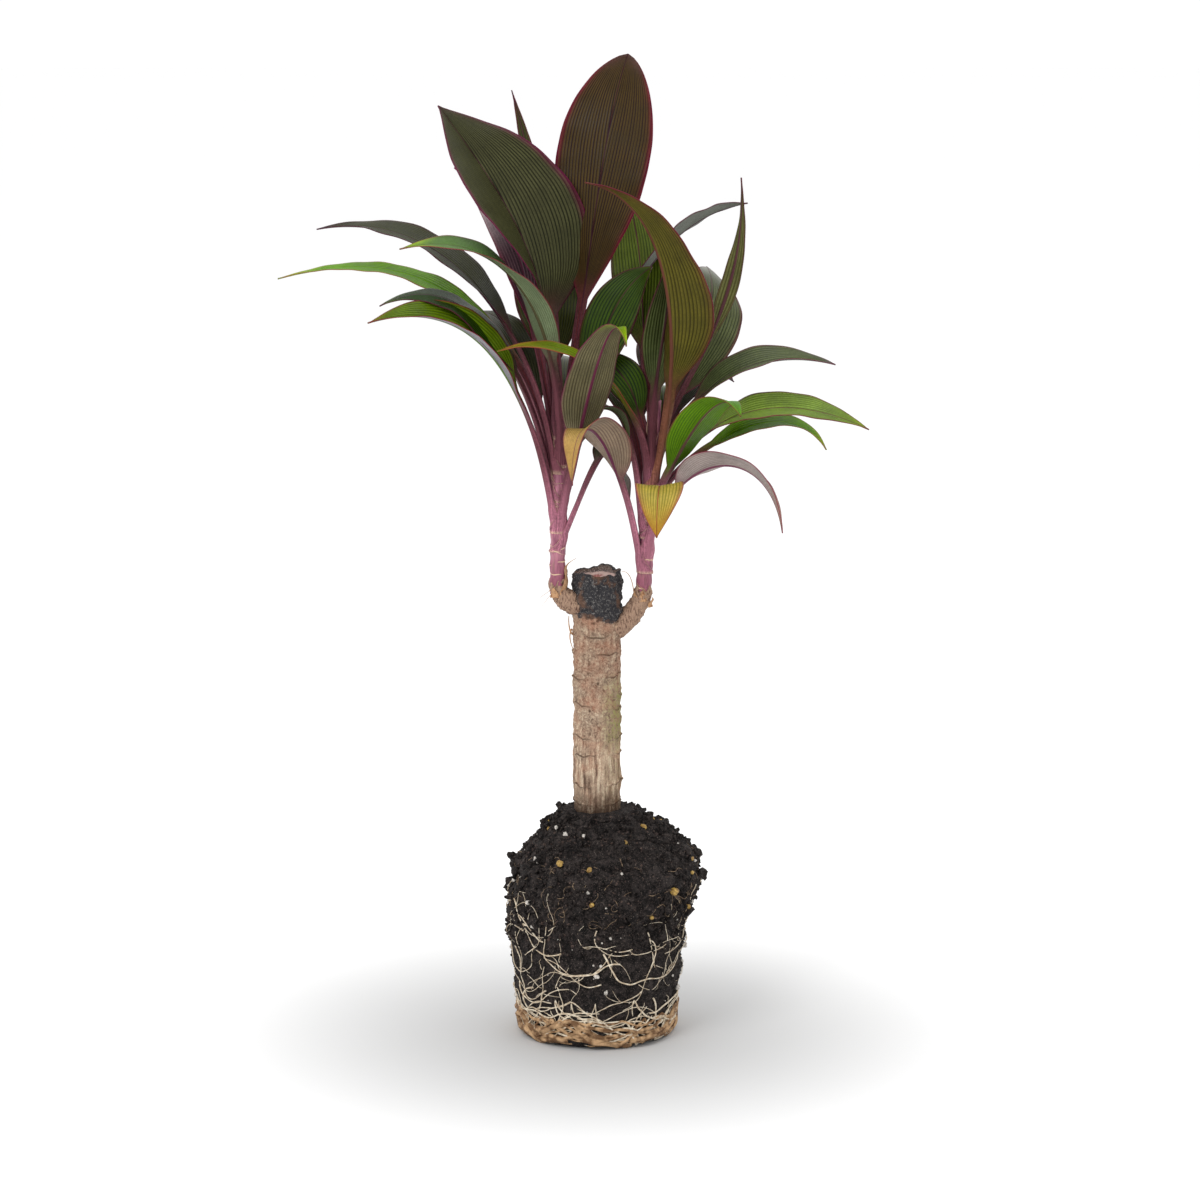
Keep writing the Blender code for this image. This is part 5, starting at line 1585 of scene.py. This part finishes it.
class TIPLANT_OT_roots(bpy.types.Operator):
    """Make the pale roots on the ball, the old ones round its foot and the peat's fibres"""

    bl_idname = "tiplant.roots"
    bl_label = "Roots"

    def execute(self, context):
        settings = plant().ball
        rng = np.random.default_rng(21)
        young = grain_material(
            "fresh_fine_root", (*settings.root, 1.0), linear(ROOT_SHADE), 0.6, 2.2, 0.3
        )
        old = grain_material(
            "corky_old_root", (*settings.root_old, 1.0), linear(OLD_ROOT_SHADE), 0.75, 5.0, 0.6
        )
        fibre = grain_material("peat_fibre", linear(FIBRE), linear(FIBRE_SHADE), 0.8, 1.5, 0.3)
        for roots, mat in ((YOUNG, young), (CIRCLING, young), (OLD, old), (FIBRES, fibre)):
            strand_piece(roots.name, root_strands(settings, rng, roots), mat)
        return {"FINISHED"}


class TIPLANT_OT_soil_bits(bpy.types.Operator):
    """Make the fertiliser prills and perlite grains in the peat"""

    bl_idname = "tiplant.soil_bits"
    bl_label = "Soil bits"

    def execute(self, context):
        settings = plant().ball
        rng = np.random.default_rng(5)
        prill = grain_material(
            "coated_prill", (*settings.prill, 1.0), linear(PRILL_SHADE), 0.4, 1.6, 0.3
        )
        white = grain_material(
            "expanded_perlite", (*settings.perlite, 1.0), linear(PERLITE_SHADE), 0.8, 1.2, 0.8
        )
        lumps_piece(settings, rng, PRILL_LUMPS, prill, PRILLS)
        lumps_piece(settings, rng, PERLITE_LUMPS, white)
        return {"FINISHED"}


class TIPLANT_OT_stage(bpy.types.Operator):
    """Make the floor, the lights and the camera"""

    bl_idname = "tiplant.stage"
    bl_label = "Stage"

    def execute(self, context):
        stage_floor()
        stage_sky(SKY)
        for box in LIGHTS:
            stage_light(*box)
        stage_camera()
        bpy.context.scene.view_settings.view_transform = "Standard"
        return {"FINISHED"}


STEPS = (
    TIPLANT_OT_leaves, TIPLANT_OT_shoots, TIPLANT_OT_cane, TIPLANT_OT_root_ball,
    TIPLANT_OT_roots, TIPLANT_OT_soil_bits, TIPLANT_OT_stage,
)
GROUPS = (TiLeafSettings, TiCaneSettings, TiShootSettings, TiBallSettings, TiPlantSettings)


class TIPLANT_PT_panel(bpy.types.Panel):
    """Sizes, colours and steps of the ti plant"""

    bl_idname = "TIPLANT_PT_panel"
    bl_label = "Ti Plant"
    bl_space_type = "VIEW_3D"
    bl_region_type = "UI"
    bl_category = "Ti Plant"

    def draw(self, context):
        settings = context.scene.ti_plant
        for name in ("leaf", "cane", "shoot", "ball"):
            box = self.layout.box()
            group = getattr(settings, name)
            for key in group.__annotations__:
                box.prop(group, key)
        for step in STEPS:
            self.layout.operator(step.bl_idname)


def register():
    for cls in GROUPS + STEPS + (TIPLANT_PT_panel,):
        bpy.utils.register_class(cls)
    bpy.types.Scene.ti_plant = bpy.props.PointerProperty(type=TiPlantSettings)


def unregister():
    del bpy.types.Scene.ti_plant
    for cls in reversed(GROUPS + STEPS + (TIPLANT_PT_panel,)):
        bpy.utils.unregister_class(cls)


def main():
    """Makes every piece in turn."""
    register()
    for step in STEPS:
        group, name = step.bl_idname.split(".")
        getattr(getattr(bpy.ops, group), name)()


if __name__ == "__main__":
    main()
